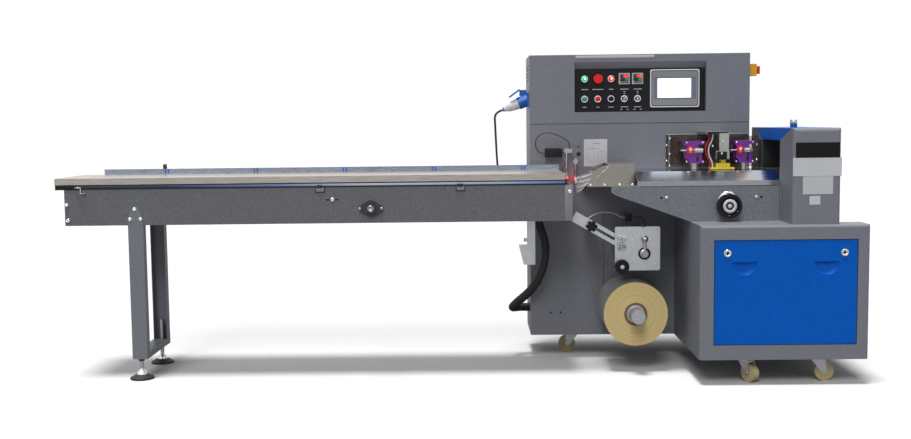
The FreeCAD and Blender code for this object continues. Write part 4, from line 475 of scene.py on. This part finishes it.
LEAD = [LEAD_TIP * MM, (LEAD_TIP + LEAD_ALONG * 23) * MM] + route(
    LEAD_TIP, (-33, 0, -28), (-31, 0, -60), (-29, 0, -111), (-26, 0, -181), (-22, -1, -246)) + route(
    LEAD_GLAND, (-6, 96, 82), (-1, 74, 36), (0, 42, 0), (0, 0, 0))
HOSE = route(HOSE_TOP, (0, 0, 0), (0, 0, -28), (14, 1, -62), (29, 3, -112), (29, 7, -172), (17, 16, -228),
             (-6, 29, -284), (-40, 54, -333)) + route(
    HOSE_WALL, (-50, -94, 46), (-74, -62, 17), (-80, -30, 3), (-64, -5, 0), (-34, 0, 0), (0, 0, 0))
AMPLIFIER = Vector((399, 112.5, 908))
CLAMP = Vector((505, 94.5, 928))
LIGHT = Vector((474, 94.5, 824))
WEB_SENSOR = Vector((725, -61.5, 639))
LOOP = route(AMPLIFIER, (0, 0, 0), (-22, 0, 0), (-41, -8, 24), (-44, -14, 56), (-22, -18, 84), (14, -20, 92),
             (52, -21, 80)) + route(CLAMP, (-12, -1, 38), (0, 0, 20), (0, 0, 0))
DROP = route(AMPLIFIER, (72, 0, 4), (87, 0, 4), (96, -5, -10), (95, -7, -28)) + route(
    LIGHT, (9, 3, 36), (0, 0, 18), (0, 0, 0))
WEB = route(WEB_SENSOR, (26, 0, 0), (43, 0, 0), (60, -20, 8)) + route(
    Vector((797, -123.5, 606)), (-3, 14, 28), (0, 0, 16), (0, 0, 0))
ARM = route(WEB_SENSOR, (0, 0, 0), (-18, 0, 0), (-46, 0, 18), (-82, -1, 24), (-120, -5, 20)) + route(
    Vector((548, -110.5, 623)), (28, 36, 22), (8, 26, 6), (0, 16, 0), (0, 0, 0))


def heater_route(shift_x, shift_y):
    """Route of a heater lead, shifted from the middle of the pair."""
    return route(Vector((1095 + shift_x, -39 + shift_y, 986)), (0, 0, 0), (0, 0, -22), (-20, -7, -52)) + route(
        Vector((1094 + 0.6 * shift_x, -41 + shift_y, 846)), (-18, -5, 50), (0, 0, 22), (0, 0, 0))


def spline(name, points, radius):
    """A curve whose NURBS spline has the route's points as its control points."""
    data = bpy.data.curves.new(name, "CURVE")
    data.dimensions = "3D"
    data.resolution_u = 12
    line = data.splines.new("NURBS")
    line.points.add(len(points) - 1)
    for point, place in zip(line.points, points):
        point.co = (*place, 1)
    line.order_u = 3
    line.use_endpoint_u = True
    data.bevel_depth = radius
    data.bevel_resolution = 5
    data.use_fill_caps = True
    return bpy.data.objects.new(name, data)


def centreline(points):
    """Points read from the route's NURBS spline."""
    item = spline("route", points, 0)
    bpy.context.scene.collection.objects.link(item)
    flat = bpy.data.meshes.new_from_object(item)
    line = [vert.co.copy() for vert in flat.vertices]
    bpy.data.objects.remove(item)
    bpy.data.meshes.remove(flat)
    return line


def length_of(line):
    """Length along the points of a line."""
    return sum((b - a).length for a, b in zip(line, line[1:]))


def cable(name, points, diameter, material, node):
    """A free cord between two pieces of the machine."""
    item = settle(spline(name, points, diameter * MM / 2), material)
    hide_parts(node)
    round(length_of(centreline(points)), 4)


RIB_PITCH = 0.0064
RIB = (1.0, 0.965, 0.90, 0.965)


def ribbed_hose(name, points, diameter, node):
    """Corrugated conduit: rings swept along the route's own line."""
    line = centreline(points)
    total = length_of(line)
    sides = 20
    count = int(total / RIB_PITCH * len(RIB))
    mesh = bmesh.new()
    places, tangents, at, passed = [], [], 0, 0.0
    for n in range(count + 1):
        target = total * n / count
        while at < len(line) - 2 and passed + (line[at + 1] - line[at]).length < target:
            passed += (line[at + 1] - line[at]).length
            at += 1
        step = line[at + 1] - line[at]
        places.append(line[at] + step.normalized() * (target - passed))
    for n, place in enumerate(places):
        tangents.append((places[min(n + 1, count)] - places[max(n - 1, 0)]).normalized())
    side = Vector((0, 1, 0)).cross(tangents[0]).normalized()
    rings = []
    for n, (place, tangent) in enumerate(zip(places, tangents)):
        side = (side - tangent * side.dot(tangent)).normalized()
        other = tangent.cross(side)
        radius = diameter * MM / 2 * RIB[n % len(RIB)]
        rings.append([mesh.verts.new(place + (side * math.cos(a) + other * math.sin(a)) * radius)
                      for a in (2 * math.pi * k / sides for k in range(sides))])
    for low, high in zip(rings, rings[1:]):
        for k in range(sides):
            mesh.faces.new((low[k], low[(k + 1) % sides], high[(k + 1) % sides], high[k]))
    mesh.faces.new(list(reversed(rings[0])))
    mesh.faces.new(rings[-1])
    item = piece(name, mesh, "rubber")
    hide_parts(node)


def make_cords():
    """Lead, hose, sensor cables and heater leads, in place of their CAD nodes."""
    cable("lead_cord", LEAD, 9.5, "rubber", "power_lead")
    ribbed_hose("hose_cord", HOSE, 38, "conduit_hose")
    cable("loop_cord", LOOP, 4, "rubber", "sensor_cables")
    cable("light_cord", DROP, 4, "rubber", "sensor_cables")
    cable("web_cord", WEB, 4, "rubber", "sensor_cables")
    cable("arm_cord", ARM, 4, "mark", "sensor_cables")
    cable("white_heater_cord", heater_route(0, -6), 6, "white", "heater_leads")
    cable("red_heater_cord", heater_route(-11, 10), 6, "red", "heater_leads")


# ---------------------------------------------------------------- conveyor

BEAM_FACE = -230
TABS = (-541, 32)
TRAY_BRACKET = ((0, 0), (26, 0), (26, -24), (44, -24), (44, -27), (23, -27), (23, -3), (0, -3))
BEARING_X, BEARING_Z = -335, 702


def conveyor_details():
    """Screws, tabs, seams and film strips on the conveyor's front, the guide's post and its film marks."""
    face = BEAM_FACE
    screws("beam_screws", [(x, face, z) for x, z in (
        (-1582, 728), (-1579, 663), (-492, 739), (476, 762), (-1304, 708), (-1324, 667), (-1281, 667))], 9, 7, "chrome")
    # The slots and tab recesses are flat dark boxes, painted shade in their openings.
    slots = bmesh.new()
    add_box(slots, mm(-517, face - 0.6, 736), mm(-467, face - 0.05, 742), 0.0002)
    for x in TABS:
        add_box(slots, mm(x - 13, face - 4, 786), mm(x + 9, face - 2, 799), 0.001)
    piece("adjusting_slots", slots, "dark")
    box_piece("tab_frames", [((x - 19, face - 2.4, 769), (x + 19, face, 790)) for x in TABS], 2,
              "plate_black")
    box_piece("beam_tabs", [((x - 16, face - 3.4, 772), (x + 16, face - 1, 789)) for x in TABS], 2,
              "grey_smooth")
    for name, left, right, low, high, proud, sunk, bevel, material, slot in (
            ("beam_end_strip", 457, 488, 643, 789, 1.2, 0, 0.4, "grey_smooth", "grey_paint"),
            ("tray_gap_shade", -1600, 466, 789.2, 809.8, 0.6, 0.1, 0.1, "dark", "black_plastic"),
            ("tray_film_strip", -1590, 456, 796, 805, 1.4, 0.5, 0.3, "film_strip", "wrapped_stainless"),
            ("tray_end_block", -1626, -1545, 789.5, 809, 2.4, 0.1, 0.4, "black", "black_plastic")):
        box_piece(name, [((left, face - proud, low), (right, face - sunk, high))], bevel, material)
    mesh = bmesh.new()
    add_slab(mesh, [(x * MM, y * MM) for x, y in TRAY_BRACKET], facing(mm(-1545, face, 800), FRONT, UP), 0.012)
    piece("tray_end_bracket", mesh, "aluminium")
    turned_piece("guide_post", [(0, 0), (8.5, 0), (8.5, 19), (7, 20.5), (0, 20.5)], [(-1260, 91, 859.5)],
                 "cast", UP)
    box_piece("film_marks", [((x + shift, 85.4, 839), (x + shift + 6, 86.2, 858))
                             for x in (-1250, -862, -474, -86, 302) for shift in (-9, 4)], 0.2,
              "socket_blue")


def bearing_details():
    """Bolts and inner ring of the flange bearing."""
    screws("bearing_bolts", [(BEARING_X + shift, -241, BEARING_Z) for shift in (-44, 44)], 6, 6, "zinc")
    turned_piece("bearing_inner_ring", [(0, -2), (9, -2), (9, 1.6), (12.5, 1.6), (12.5, 0)],
                 [(BEARING_X, -252, BEARING_Z)], "steel")


# ---------------------------------------------------------------- control column

PANEL_COLUMNS = (575.5, 633.2, 690.9, 748.6, 806.3)
DISPLAY_COLUMNS = PANEL_COLUMNS[3:]
UPPER_ROW, LOWER_ROW = 1229, 1142
PANEL_FACE = 144.0
COLUMN_FACE = 128.6


def panel_details():
    """Lenses, caps, blank label strips and number displays on the control panel."""
    for name, column, lens in (("green", 0, "green_lamp"), ("red", 2, "red_lamp")):
        for part, radius, height, proud, material in (
                ("lens", 12, 7, 10.2, lens), ("core", 3.8, 2.0, 16.3, "lamp_core")):
            turned_piece(f"{name}_lamp_{part}", sized(DOME, radius, height),
                         [(PANEL_COLUMNS[column], PANEL_FACE - proud, UPPER_ROW)], material)
    for name, column, cap in (("green", 0, "green_button"), ("red", 1, "red"), ("black", 2, "black")):
        turned_piece(f"{name}_button_cap", [(0, 2.6), (9.8, 2.4), (11, 1.4), (11.2, 0)],
                     [(PANEL_COLUMNS[column], PANEL_FACE - 6.1, LOWER_ROW)], cap)
    turned_piece("selector_faces", [(0, 0.8), (10, 0.8), (10.6, 0)],
                 [(x, PANEL_FACE - 5.9, LOWER_ROW) for x in DISPLAY_COLUMNS], "black_gloss")
    mesh = bmesh.new()
    grip = [(x * MM, y * MM) for x, y in rounded_outline(5.0, 20, 2)]
    turn = Matrix.Rotation(math.radians(-40), 4, "Z")
    for x in DISPLAY_COLUMNS:
        add_slab(mesh, grip, facing(mm(x, PANEL_FACE - 6.6, LOWER_ROW), FRONT) @ turn, 0.011, 0.0006)
    piece("selector_grips", mesh, "mark")
    strips = [(x, UPPER_ROW - 46, width) for x, width in zip(PANEL_COLUMNS, (30, 48, 20, 36, 36))]
    strips += [(x, LOWER_ROW - 36, width) for x, width in zip(PANEL_COLUMNS, (18, 14, 24, 32, 30))]
    for x in DISPLAY_COLUMNS:
        strips += [(x - 14, LOWER_ROW - 47, 9), (x + 14, LOWER_ROW - 47, 9), (x, UPPER_ROW - 56, 7),
                   (x, UPPER_ROW - 64, 7)]
    box_piece("blank_label_strips", [((x - width / 2, PANEL_FACE - 0.5, z - 1.6),
                                      (x + width / 2, PANEL_FACE - 0.05, z + 1.6)) for x, z, width in strips], 0.2,
              "mark")
    number_displays()


SEGMENTS = {"1": "bc", "2": "abged", "5": "afgcd", "0": "abcdef", "4": "fgbc", "8": "abcdefg"}


def add_digit(mesh, digit, x, z, width, height, face):
    """Seven-segment digit: the middle of its foot at x, z."""
    stroke = width * 0.2
    half, mid = width / 2, height / 2
    bars = {
        "a": (-half, height - stroke, half, height), "b": (half - stroke, mid, half, height),
        "c": (half - stroke, 0, half, mid), "d": (-half, 0, half, stroke), "e": (-half, 0, -half + stroke, mid),
        "f": (-half, mid, -half + stroke, height), "g": (-half, mid - stroke / 2, half, mid + stroke / 2),
    }
    for key in SEGMENTS[digit]:
        x0, z0, x1, z1 = bars[key]
        add_box(mesh, mm(x + x0, face - 0.4, z + z0), mm(x + x1, face, z + z1), 0.0001)


def number_displays():
    """Windows, plain numbers and keys of the two temperature controllers."""
    windows, tops, lows, keys = bmesh.new(), bmesh.new(), bmesh.new(), bmesh.new()
    digit_face = PANEL_FACE - 4.7
    for x, upper, lower in zip(DISPLAY_COLUMNS, ("152", "148"), ("150", "150")):
        add_box(windows, mm(x - 19, PANEL_FACE - 4.6, UPPER_ROW - 12), mm(x + 19, PANEL_FACE - 4.0, UPPER_ROW + 18),
                0.0001)
        for n, digit in enumerate(upper):
            add_digit(tops, digit, x - 5 + n * 9, UPPER_ROW + 4, 6, 12, digit_face)
        for n, digit in enumerate(lower):
            add_digit(lows, digit, x + 1 + n * 7, UPPER_ROW - 9, 4.6, 9, digit_face)
        for n in range(4):
            left = x - 17 + n * 9.4
            add_box(keys, mm(left, PANEL_FACE - 6.9, UPPER_ROW - 21), mm(left + 6, PANEL_FACE - 6.0, UPPER_ROW - 16),
                    0.0002)
    piece("display_windows", windows, "black_gloss")
    piece("display_red_digits", tops, "laser")
    piece("display_green_digits", lows, "green_lamp")
    piece("display_keys", keys, "black")


def screen_details():
    """Layers of the operator screen, from its seal to the lit picture, and its small lamp."""
    low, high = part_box("touch_screen")
    x, z = (low[0] + high[0]) / 2 / MM, (low[2] + high[2]) / 2 / MM
    face = low[1] / MM
    for name, left, up, width, height, material, slot, radius, depth in (
            ("screen_seal", 0, 0, 212, 163, "chrome", "chrome", 10, 10.4),
            ("screen_surround", 0, 0, 206, 157, "black_gloss", "black_plastic", 9, 10.9),
            ("screen_bezel_plate", 0, 0, 198, 149, "screen_bezel", "black_plastic", 6, 11.9),
            ("screen_glass", 0, 1, 184, 96, "screen_edge", "black_plastic", 2, 12.3),
            ("screen_picture", 3, 1, 146, 84, "screen_lit", "white_plastic", 1, 12.6)):
        front_plate(name, x - left, z + up, width, height, face + 9.9, material, radius, depth)
    turned_piece("screen_led", [(0, 0.5), (1.6, 0.4), (2, 0)], [(x + 88, face - 2, z + 34)], "mark",
                 sides=12)


def column_details():
    """Toothed vent strip, film path plate, holes and seams on the column's front."""
    left, right, teeth = 536, 874, 30
    pitch = (right - left) / teeth
    box_piece("vent_strip", [((left + n * pitch, 126.4, 1319.5), (left + n * pitch + pitch * 0.62, 127.6, 1327.5))
                             for n in range(teeth)] + [((left - 1, 127.4, 1318), (right + 1, COLUMN_FACE, 1329))], 0.4,
              "mark")
    front_plate("film_path_plate", 621, 907.5, 102, 119, COLUMN_FACE, "plate")
    diagram()
    mesh = bmesh.new()
    # The holes are flat dark discs, painted shade in their openings.
    for x, z, radius in ((546.5, 903, 10), (546.5, 935, 4), (546.5, 868, 4), (422, 203, 5), (466, 203, 5)):
        turned(mesh, [(0, 0.3), (radius * 0.9, 0.3), (radius, 0)], (x, 128.5, z), sides=20)
    piece("column_holes", mesh, "dark")
    box_piece("column_seams", [((334.5, 128.2, 1033.9), (1289.5, COLUMN_FACE, 1036.1)),
                               ((655.2, 128.2, 110), (656.8, COLUMN_FACE, 640))], 0.1, "dark")


def add_ring(mesh, x, z, radius, face, width=0.9):
    """Adds a thin flat ring on a front face."""
    inner, outer = radius - width / 2, radius + width / 2
    turned(mesh, [(inner, 0), (inner, 0.3), (outer, 0.3), (outer, 0)], (x, face, z), sides=28)


def diagram():
    """Plain circles and lines, as on a film path plate, without words."""
    face = 127.8
    mesh = bmesh.new()
    for x, z, radius in ((648, 893, 21), (648, 893, 9), (592, 872, 8), (610, 930, 5)):
        add_ring(mesh, x, z, radius, face)
    for low, high in (((583, 880), (584, 925)), ((583, 925), (640, 926)), ((600, 868), (640, 869)),
                      ((613, 884), (614, 926)), ((610, 948), (640, 950))):
        add_box(mesh, mm(low[0], face - 0.3, low[1]), mm(high[0], face, high[1]), 0.0001)
    piece("film_path_lines", mesh, "line")


# ---------------------------------------------------------------- end sealer and base


def sealer_details():
    """Blank plates on the front cover of the end sealer."""
    for name, x, z, width, height, material, slot, radius in (
            ("cover_plate_black", 1427, 924, 172, 60, "plate_black", "black_plastic", 1.5),
            ("cover_plate_white", 1426, 859, 190, 72, "plate", "white_plastic", 1.5),
            ("cover_plate_silver", 1429, 787, 117, 70, "plate_silver", "aluminium", 2.5),
            ("cover_plate_small", 1418, 728, 42, 34, "plate", "white_plastic", 1)):
        front_plate(name, x, z, width, height, -400, material, radius)


def door_details():
    """Bright rings and dark key cores on the quarter-turn locks."""
    locks = [(x, -428.4, 525) for x in (1074, 1530)]
    turned_piece("lock_rings", [(6, 0), (6, 2), (13.5, 2), (15, 1), (15, 0)], locks, "chrome")
    turned_piece("lock_cores", [(0, 1.8), (5, 1.6), (6, 0)], locks, "black", sides=16)


# ---------------------------------------------------------------- fin-seal unit, handwheel, film plate

HEADS = (1018, 1227)


def ball_profile(radius, steps=10):
    """Profile of a ball about its middle."""
    return [(radius * math.sin(math.pi * n / steps), -radius * math.cos(math.pi * n / steps))
            for n in range(steps + 1)]


def seal_details():
    """Guard with its side strip and screws, plate behind it, head screws and slots, lever balls."""
    screws("guard_screws", [(x, 122.6, z) for x, z in ((943, 967), (930, 937), (943, 900), (930, 869), (943, 848))],
           4.2, 3.4)
    screws("guard_side_screws", [(x, 121.9, z) for x, z in ((1293, 970), (1322, 936), (1322, 872))], 4.2, 3.4)
    for name, x, z, width, height, face, material, slot, radius, depth in (
            ("guard_side_strip", 1306.5, 908, 47, 134, 126.5, "smoked", "smoked_acrylic", 1, 4),
            ("guard_left_edge", 940, 914, 1.6, 142, 122.5, "plate_silver", "aluminium", 0.5, 0.8),
            ("guard_top_edge", 1105, 984.5, 354, 2.6, 122.5, "plate_silver", "aluminium", 0.5, 0.8),
            ("seal_back_plate", 1105, 916, 306, 106, 188, "bronze", "stainless", 1, 2),
            ("seal_lower_plate", 1105, 873, 306, 40, 186, "dark", "black_plastic", 1, 2)):
        front_plate(name, x, z, width, height, face, material, radius, depth)
    screws("head_screws", [(x + shift, -55, z) for x in HEADS for shift in (-35, 33) for z in (951, 871)], 3.6, 3)
    box_piece("head_slots", [((x + 6, -55.7, 872), (x + 16, -54.8, 908)) for x in HEADS], 0.3,
              "black_gloss")
    turned_piece("lever_balls", ball_profile(16), [(x - 22, -71, 918.5) for x in HEADS], "red")
    box_piece("lever_blocks", [((x + 2, -70, 910), (x + 31, -54.5, 926)) for x in HEADS], 1, "chrome")
    front_plate("bracket_top_plate", 1112, 991, 90, 9, -61, "screw", 1, 3)
    box_piece("bracket_clear_post", [((1118, -66, 884), (1158, -60, 990))], 1, "clear_block")
    box_piece("bracket_carrier", [((1110, -68, 878), (1150, -60, 912))], 2, "black")
    screws("bracket_screws", [(1128, -68, 905), (1133, -66, 955), (1090, -64.5, 936)], 4, 3)


def handwheel_details():
    """Light ring, dots and a white middle on the wheel, with a bright scale behind it."""
    x, z, face = 1118, 698, -268.7
    turned_piece("wheel_ring", [(16, 0), (16, 1.2), (28, 1.2), (28, 0)], [(x, face, z)], "plate",
                 sides=36, body="handwheel")
    mesh = bmesh.new()
    turned(mesh, [(0, 3), (7, 2.6), (9, 0)], (x, face, z), sides=20)
    for angle in (math.radians(-35), math.radians(-93)):
        turned(mesh, [(0, 0.8), (1.6, 0.6), (2, 0)],
               (x + 38 * math.cos(angle), face, z + 38 * math.sin(angle)), sides=8)
    piece("wheel_marks", mesh, "mark", "handwheel")
    turned_piece("wheel_scale_ring", [(30, 0), (30, 1.0), (43.4, 1.0), (43.4, 0)], [(x, -240, z + 15)],
                 "chrome", sides=40)


def skirt_details():
    """Holes, studs and seams on the bed's front panel."""
    face = -230
    # The holes are flat dark discs, painted shade in their openings.
    turned_piece("skirt_holes", [(0, 0.4), (5, 0.4), (5.6, 0)], [(x, face, 732) for x in (849, 1253)],
                 "dark", sides=16)
    screws("skirt_studs", [(x, face, 733) for x in (869, 1233)], 6, 5)
    box_piece("skirt_seams", [((1325.4, face - 0.4, 640), (1327, face + 0.4, 778)),
                              ((760, face - 0.4, 777.6), (1330, face + 0.4, 779.2))], 0.1, "dark")


def film_plate_details():
    """Cam block, pivot ring, screws and caps on the film plate."""
    face = -128.5
    pivot = (796, face, 492)
    box_piece("cam_block", [((684, face - 9, 508), (719, face - 0.1, 571))], 3, "plate_silver")
    mesh = bmesh.new()
    for x, z, radius in ((694, 558, 7), (707, 552, 6), (697, 535, 8), (710, 524, 5), (692, 517, 4)):
        add_ring(mesh, x, z, radius, face - 9, 2.2)
    piece("cam_rings", mesh, "black")
    turned_piece("pivot_ring", [(19, 0), (19, 1.6), (25, 1.6), (25, 0)], [pivot], "black", sides=32)
    turned_piece("pivot_disc", [(0, 1.2), (18, 1.2), (19, 0)], [pivot], "steel", sides=32)
    screws("plate_screws", [(x, face, z) for x, z in ((843, 446), (748, 550), (823, 549), (690, 596), (846, 590))],
           4.5, 3.4)
    screws("knob_cap", [(701, -154, 440)], 9, 4, "white")
    turned_piece("plate_top_gland", [(0, 14), (9, 13), (10, 0)], [(790, -123, 604)], "cast", UP, 20)


def sensor_details():
    """Black covers on the amplifier and the web sensor, and the sensors' red spots."""
    mesh = bmesh.new()
    add_box(mesh, mm(398.4, 96.0, 891.4), mm(471.6, 127.5, 929.6), 0.0015)
    add_box(mesh, mm(724.6, -79.4, 623.6), mm(751.4, -44, 654.4), 0.002)
    piece("sensor_covers", mesh, "black")
    turned_piece("sensor_spots", [(0, 1.6), (4, 1.2), (5.5, 0)], [(492, 84, 803), (530, 86, 790)],
                 "laser", sides=14)


def inlet_details():
    """White connector body over the tilted nose of the inlet."""
    profile = ((22.6, 46), (23.4, 50), (22.4, 66), (18.6, 92), (15.5, 100), (8.6, 118), (7.4, 123.6))
    turned_piece("connector_body", profile, [INLET], "white", LEAD_ALONG, 32)


def feet_details():
    """Zinc stud, bright ball cap and black nut of each levelling foot."""
    feet = [(-1302, y, 0) for y in (-211, 101)]
    root, crest, turns = 7.6, 8.6, 38
    thread = [(root, 36)]
    for turn in range(turns):
        thread += [(root, 40 + 4 * turn), (crest, 42 + 4 * turn)]
    turned_piece("foot_studs", thread + [(root, 193), (0, 195.4)], feet, "zinc", UP, 16)
    turned_piece("foot_caps", [(22, 19), (20, 27), (15, 35), (9, 40), (7.7, 44)], feet, "screw", UP)
    turned_piece("foot_nuts", [(root, 76), (13, 76), (13, 84.6), (root, 84.6)], feet, "black", UP, 6)


def former_details():
    """Bolts under the forming box and the film at its mouth."""
    screws("former_bolts", [(x, -230, 787) for x in (561, 618, 679, 730)], 5, 4)
    film_web()


def web_point(down, left):
    """Point of the film: down the mouth's edge and to the left of it, each from 0 to 1."""
    start = mm(648 - 92 * down ** 1.3, -152, 864 - 74 * down)
    end = mm(503 + 12 * down, -120, 812 - 64 * down ** 1.2)
    crease = math.sin(down * 23 + 4 * left) + 0.6 * math.sin(down * 41 + 7 * left + 1.3)
    sag = math.sin(math.pi * left)
    return start.lerp(end, left) + mm(0, -3.2 * crease * (0.25 + left) * (1 - 0.5 * down),
                                      -5 * sag * down + random.uniform(-0.8, 0.8))


def film_web():
    """Clear film drawn from the forming box's mouth, gathered into creases towards the infeed."""
    across, along = 18, 22
    thickness = 0.3 * MM
    rows = [[web_point(row / across, column / along) for column in range(along + 1)] for row in range(across + 1)]
    mesh = bmesh.new()
    sides = [[[mesh.verts.new(point + Vector((0, shift, 0))) for point in line] for line in rows]
             for shift in (0, thickness)]
    area = 0.0
    for layer, points in enumerate(sides):
        for row in range(across):
            for column in range(along):
                corners = [points[row][column], points[row][column + 1],
                           points[row + 1][column + 1], points[row + 1][column]]
                face = mesh.faces.new(corners if layer == 0 else corners[::-1])
                area += face.calc_area() / 2
    front, back = sides
    rim = [(0, n) for n in range(along)] + [(n, along) for n in range(across)]
    rim += [(across, along - n) for n in range(along)] + [(across - n, 0) for n in range(across)]
    for (row, column), (next_row, next_column) in zip(rim, rim[1:] + rim[:1]):
        mesh.faces.new((front[row][column], back[row][column], back[next_row][next_column],
                        front[next_row][next_column]))
    bmesh.ops.recalc_face_normals(mesh, faces=mesh.faces[:])
    item = piece("film_web", mesh, "clear_film")


def tunnel_details():
    """Black lining of the tunnel's back and the steel sleeve over the hood's pin."""
    box_piece("tunnel_lining", [((1329.8, 70.5, 838), (1331.2, 128, 958)), ((1332, 68.6, 838), (1517, 69.9, 958))], 0.3,
              "dark")
    hood = NODES["end_seal_hood"]
    points = [hood.matrix_world @ vert.co for vert in hood.data.vertices]
    top = max(point.z for point in points)
    pin_end = [point for point in points if point.z > top - 0.5 * MM]
    middle = sum(pin_end, Vector()) / len(pin_end)
    turned_piece("hood_pin_sleeve", [(14.0, -31), (14.6, -31), (14.6, -1.5), (13.0, 0.4), (0, 0.4)], [middle / MM],
                 "steel", UP, 28)


# ---------------------------------------------------------------- stage and light


def stage():
    """Pale floor that keeps the machine's shadow, under a plain white surround."""
    mesh = bmesh.new()
    half = 40
    corners = [mesh.verts.new((x, y, 0)) for x, y in ((-half, -half), (half, -half), (half, half), (-half, half))]
    mesh.faces.new(corners)
    data = bpy.data.meshes.new("floor")
    mesh.to_mesh(data)
    floor = bpy.data.objects.new("floor", data)
    floor.location.z = -0.0005
    bpy.context.scene.collection.objects.link(floor)
    material, nodes, links, bsdf = shader("pale_floor")
    set_inputs(bsdf, Roughness=0.9, Specular_IOR_Level=0.1)
    rays = nodes.new("ShaderNodeLightPath")
    tone = nodes.new("ShaderNodeMix")
    tone.data_type = "RGBA"
    tone.inputs["A"].default_value = (0.32, 0.32, 0.32, 1)
    tone.inputs["B"].default_value = (0.86, 0.86, 0.86, 1)
    links.new(rays.outputs["Is Camera Ray"], tone.inputs["Factor"])
    links.new(tone.outputs["Result"], bsdf.inputs["Base Color"])
    data.materials.append(material)


def world():
    """White to the eye and in reflections, a plain soft sky as light."""
    sky = bpy.data.worlds.new("surround")
    bpy.context.scene.world = sky
    sky.use_nodes = True
    nodes, links = sky.node_tree.nodes, sky.node_tree.links
    background = nodes["Background"]
    rays = nodes.new("ShaderNodeLightPath")
    seen = new_node(nodes, "ShaderNodeMath", "MAXIMUM")
    links.new(rays.outputs["Is Camera Ray"], seen.inputs[0])
    links.new(rays.outputs["Is Transmission Ray"], seen.inputs[1])
    shown = new_node(nodes, "ShaderNodeMath", "MAXIMUM")
    links.new(seen.outputs["Value"], shown.inputs[0])
    links.new(rays.outputs["Is Glossy Ray"], shown.inputs[1])
    strength = new_node(nodes, "ShaderNodeMapRange", To_Min=0.23, To_Max=1.0)
    links.new(shown.outputs["Value"], strength.inputs["Value"])
    links.new(strength.outputs["Result"], background.inputs["Strength"])
    background.inputs["Color"].default_value = (1, 1, 1, 1)


def lamp(name, kind, energy, at, towards, **settings):
    """A light at a point, turned towards another."""
    data = bpy.data.lights.new(name, kind)
    data.energy = energy
    for key, number in settings.items():
        setattr(data, key, number)
    item = bpy.data.objects.new(name, data)
    item.matrix_world = facing(at, Vector(at) - Vector(towards))
    bpy.context.scene.collection.objects.link(item)


def lights():
    """Soft sky, two broad suns and the red glow under the sensor."""
    world()
    lamp("overhead", "SUN", 2.6, (-0.5, -0.6, 5.0), (0, 0, 0), angle=math.radians(13))
    lamp("front", "SUN", 0.95, (-1.0, -3.6, 3.2), (0, 0, 0), angle=math.radians(24))
    lamp("sensor_glow", "POINT", 0.05, (0.515, 0.075, 0.80), (0.515, 0, 0.80), color=(1.0, 0.05, 0.08),
         shadow_soft_size=0.004)


def view_settings():
    """Plain view transform, as the photograph has."""
    bpy.context.scene.view_settings.view_transform = "Standard"


random.seed(7)
make_camera()
view_settings()
make_cords()
finish_nodes()
conveyor_details()
bearing_details()
panel_details()
screen_details()
column_details()
sealer_details()
door_details()
seal_details()
handwheel_details()
skirt_details()
film_plate_details()
sensor_details()
inlet_details()
feet_details()
former_details()
tunnel_details()
stage()
lights()
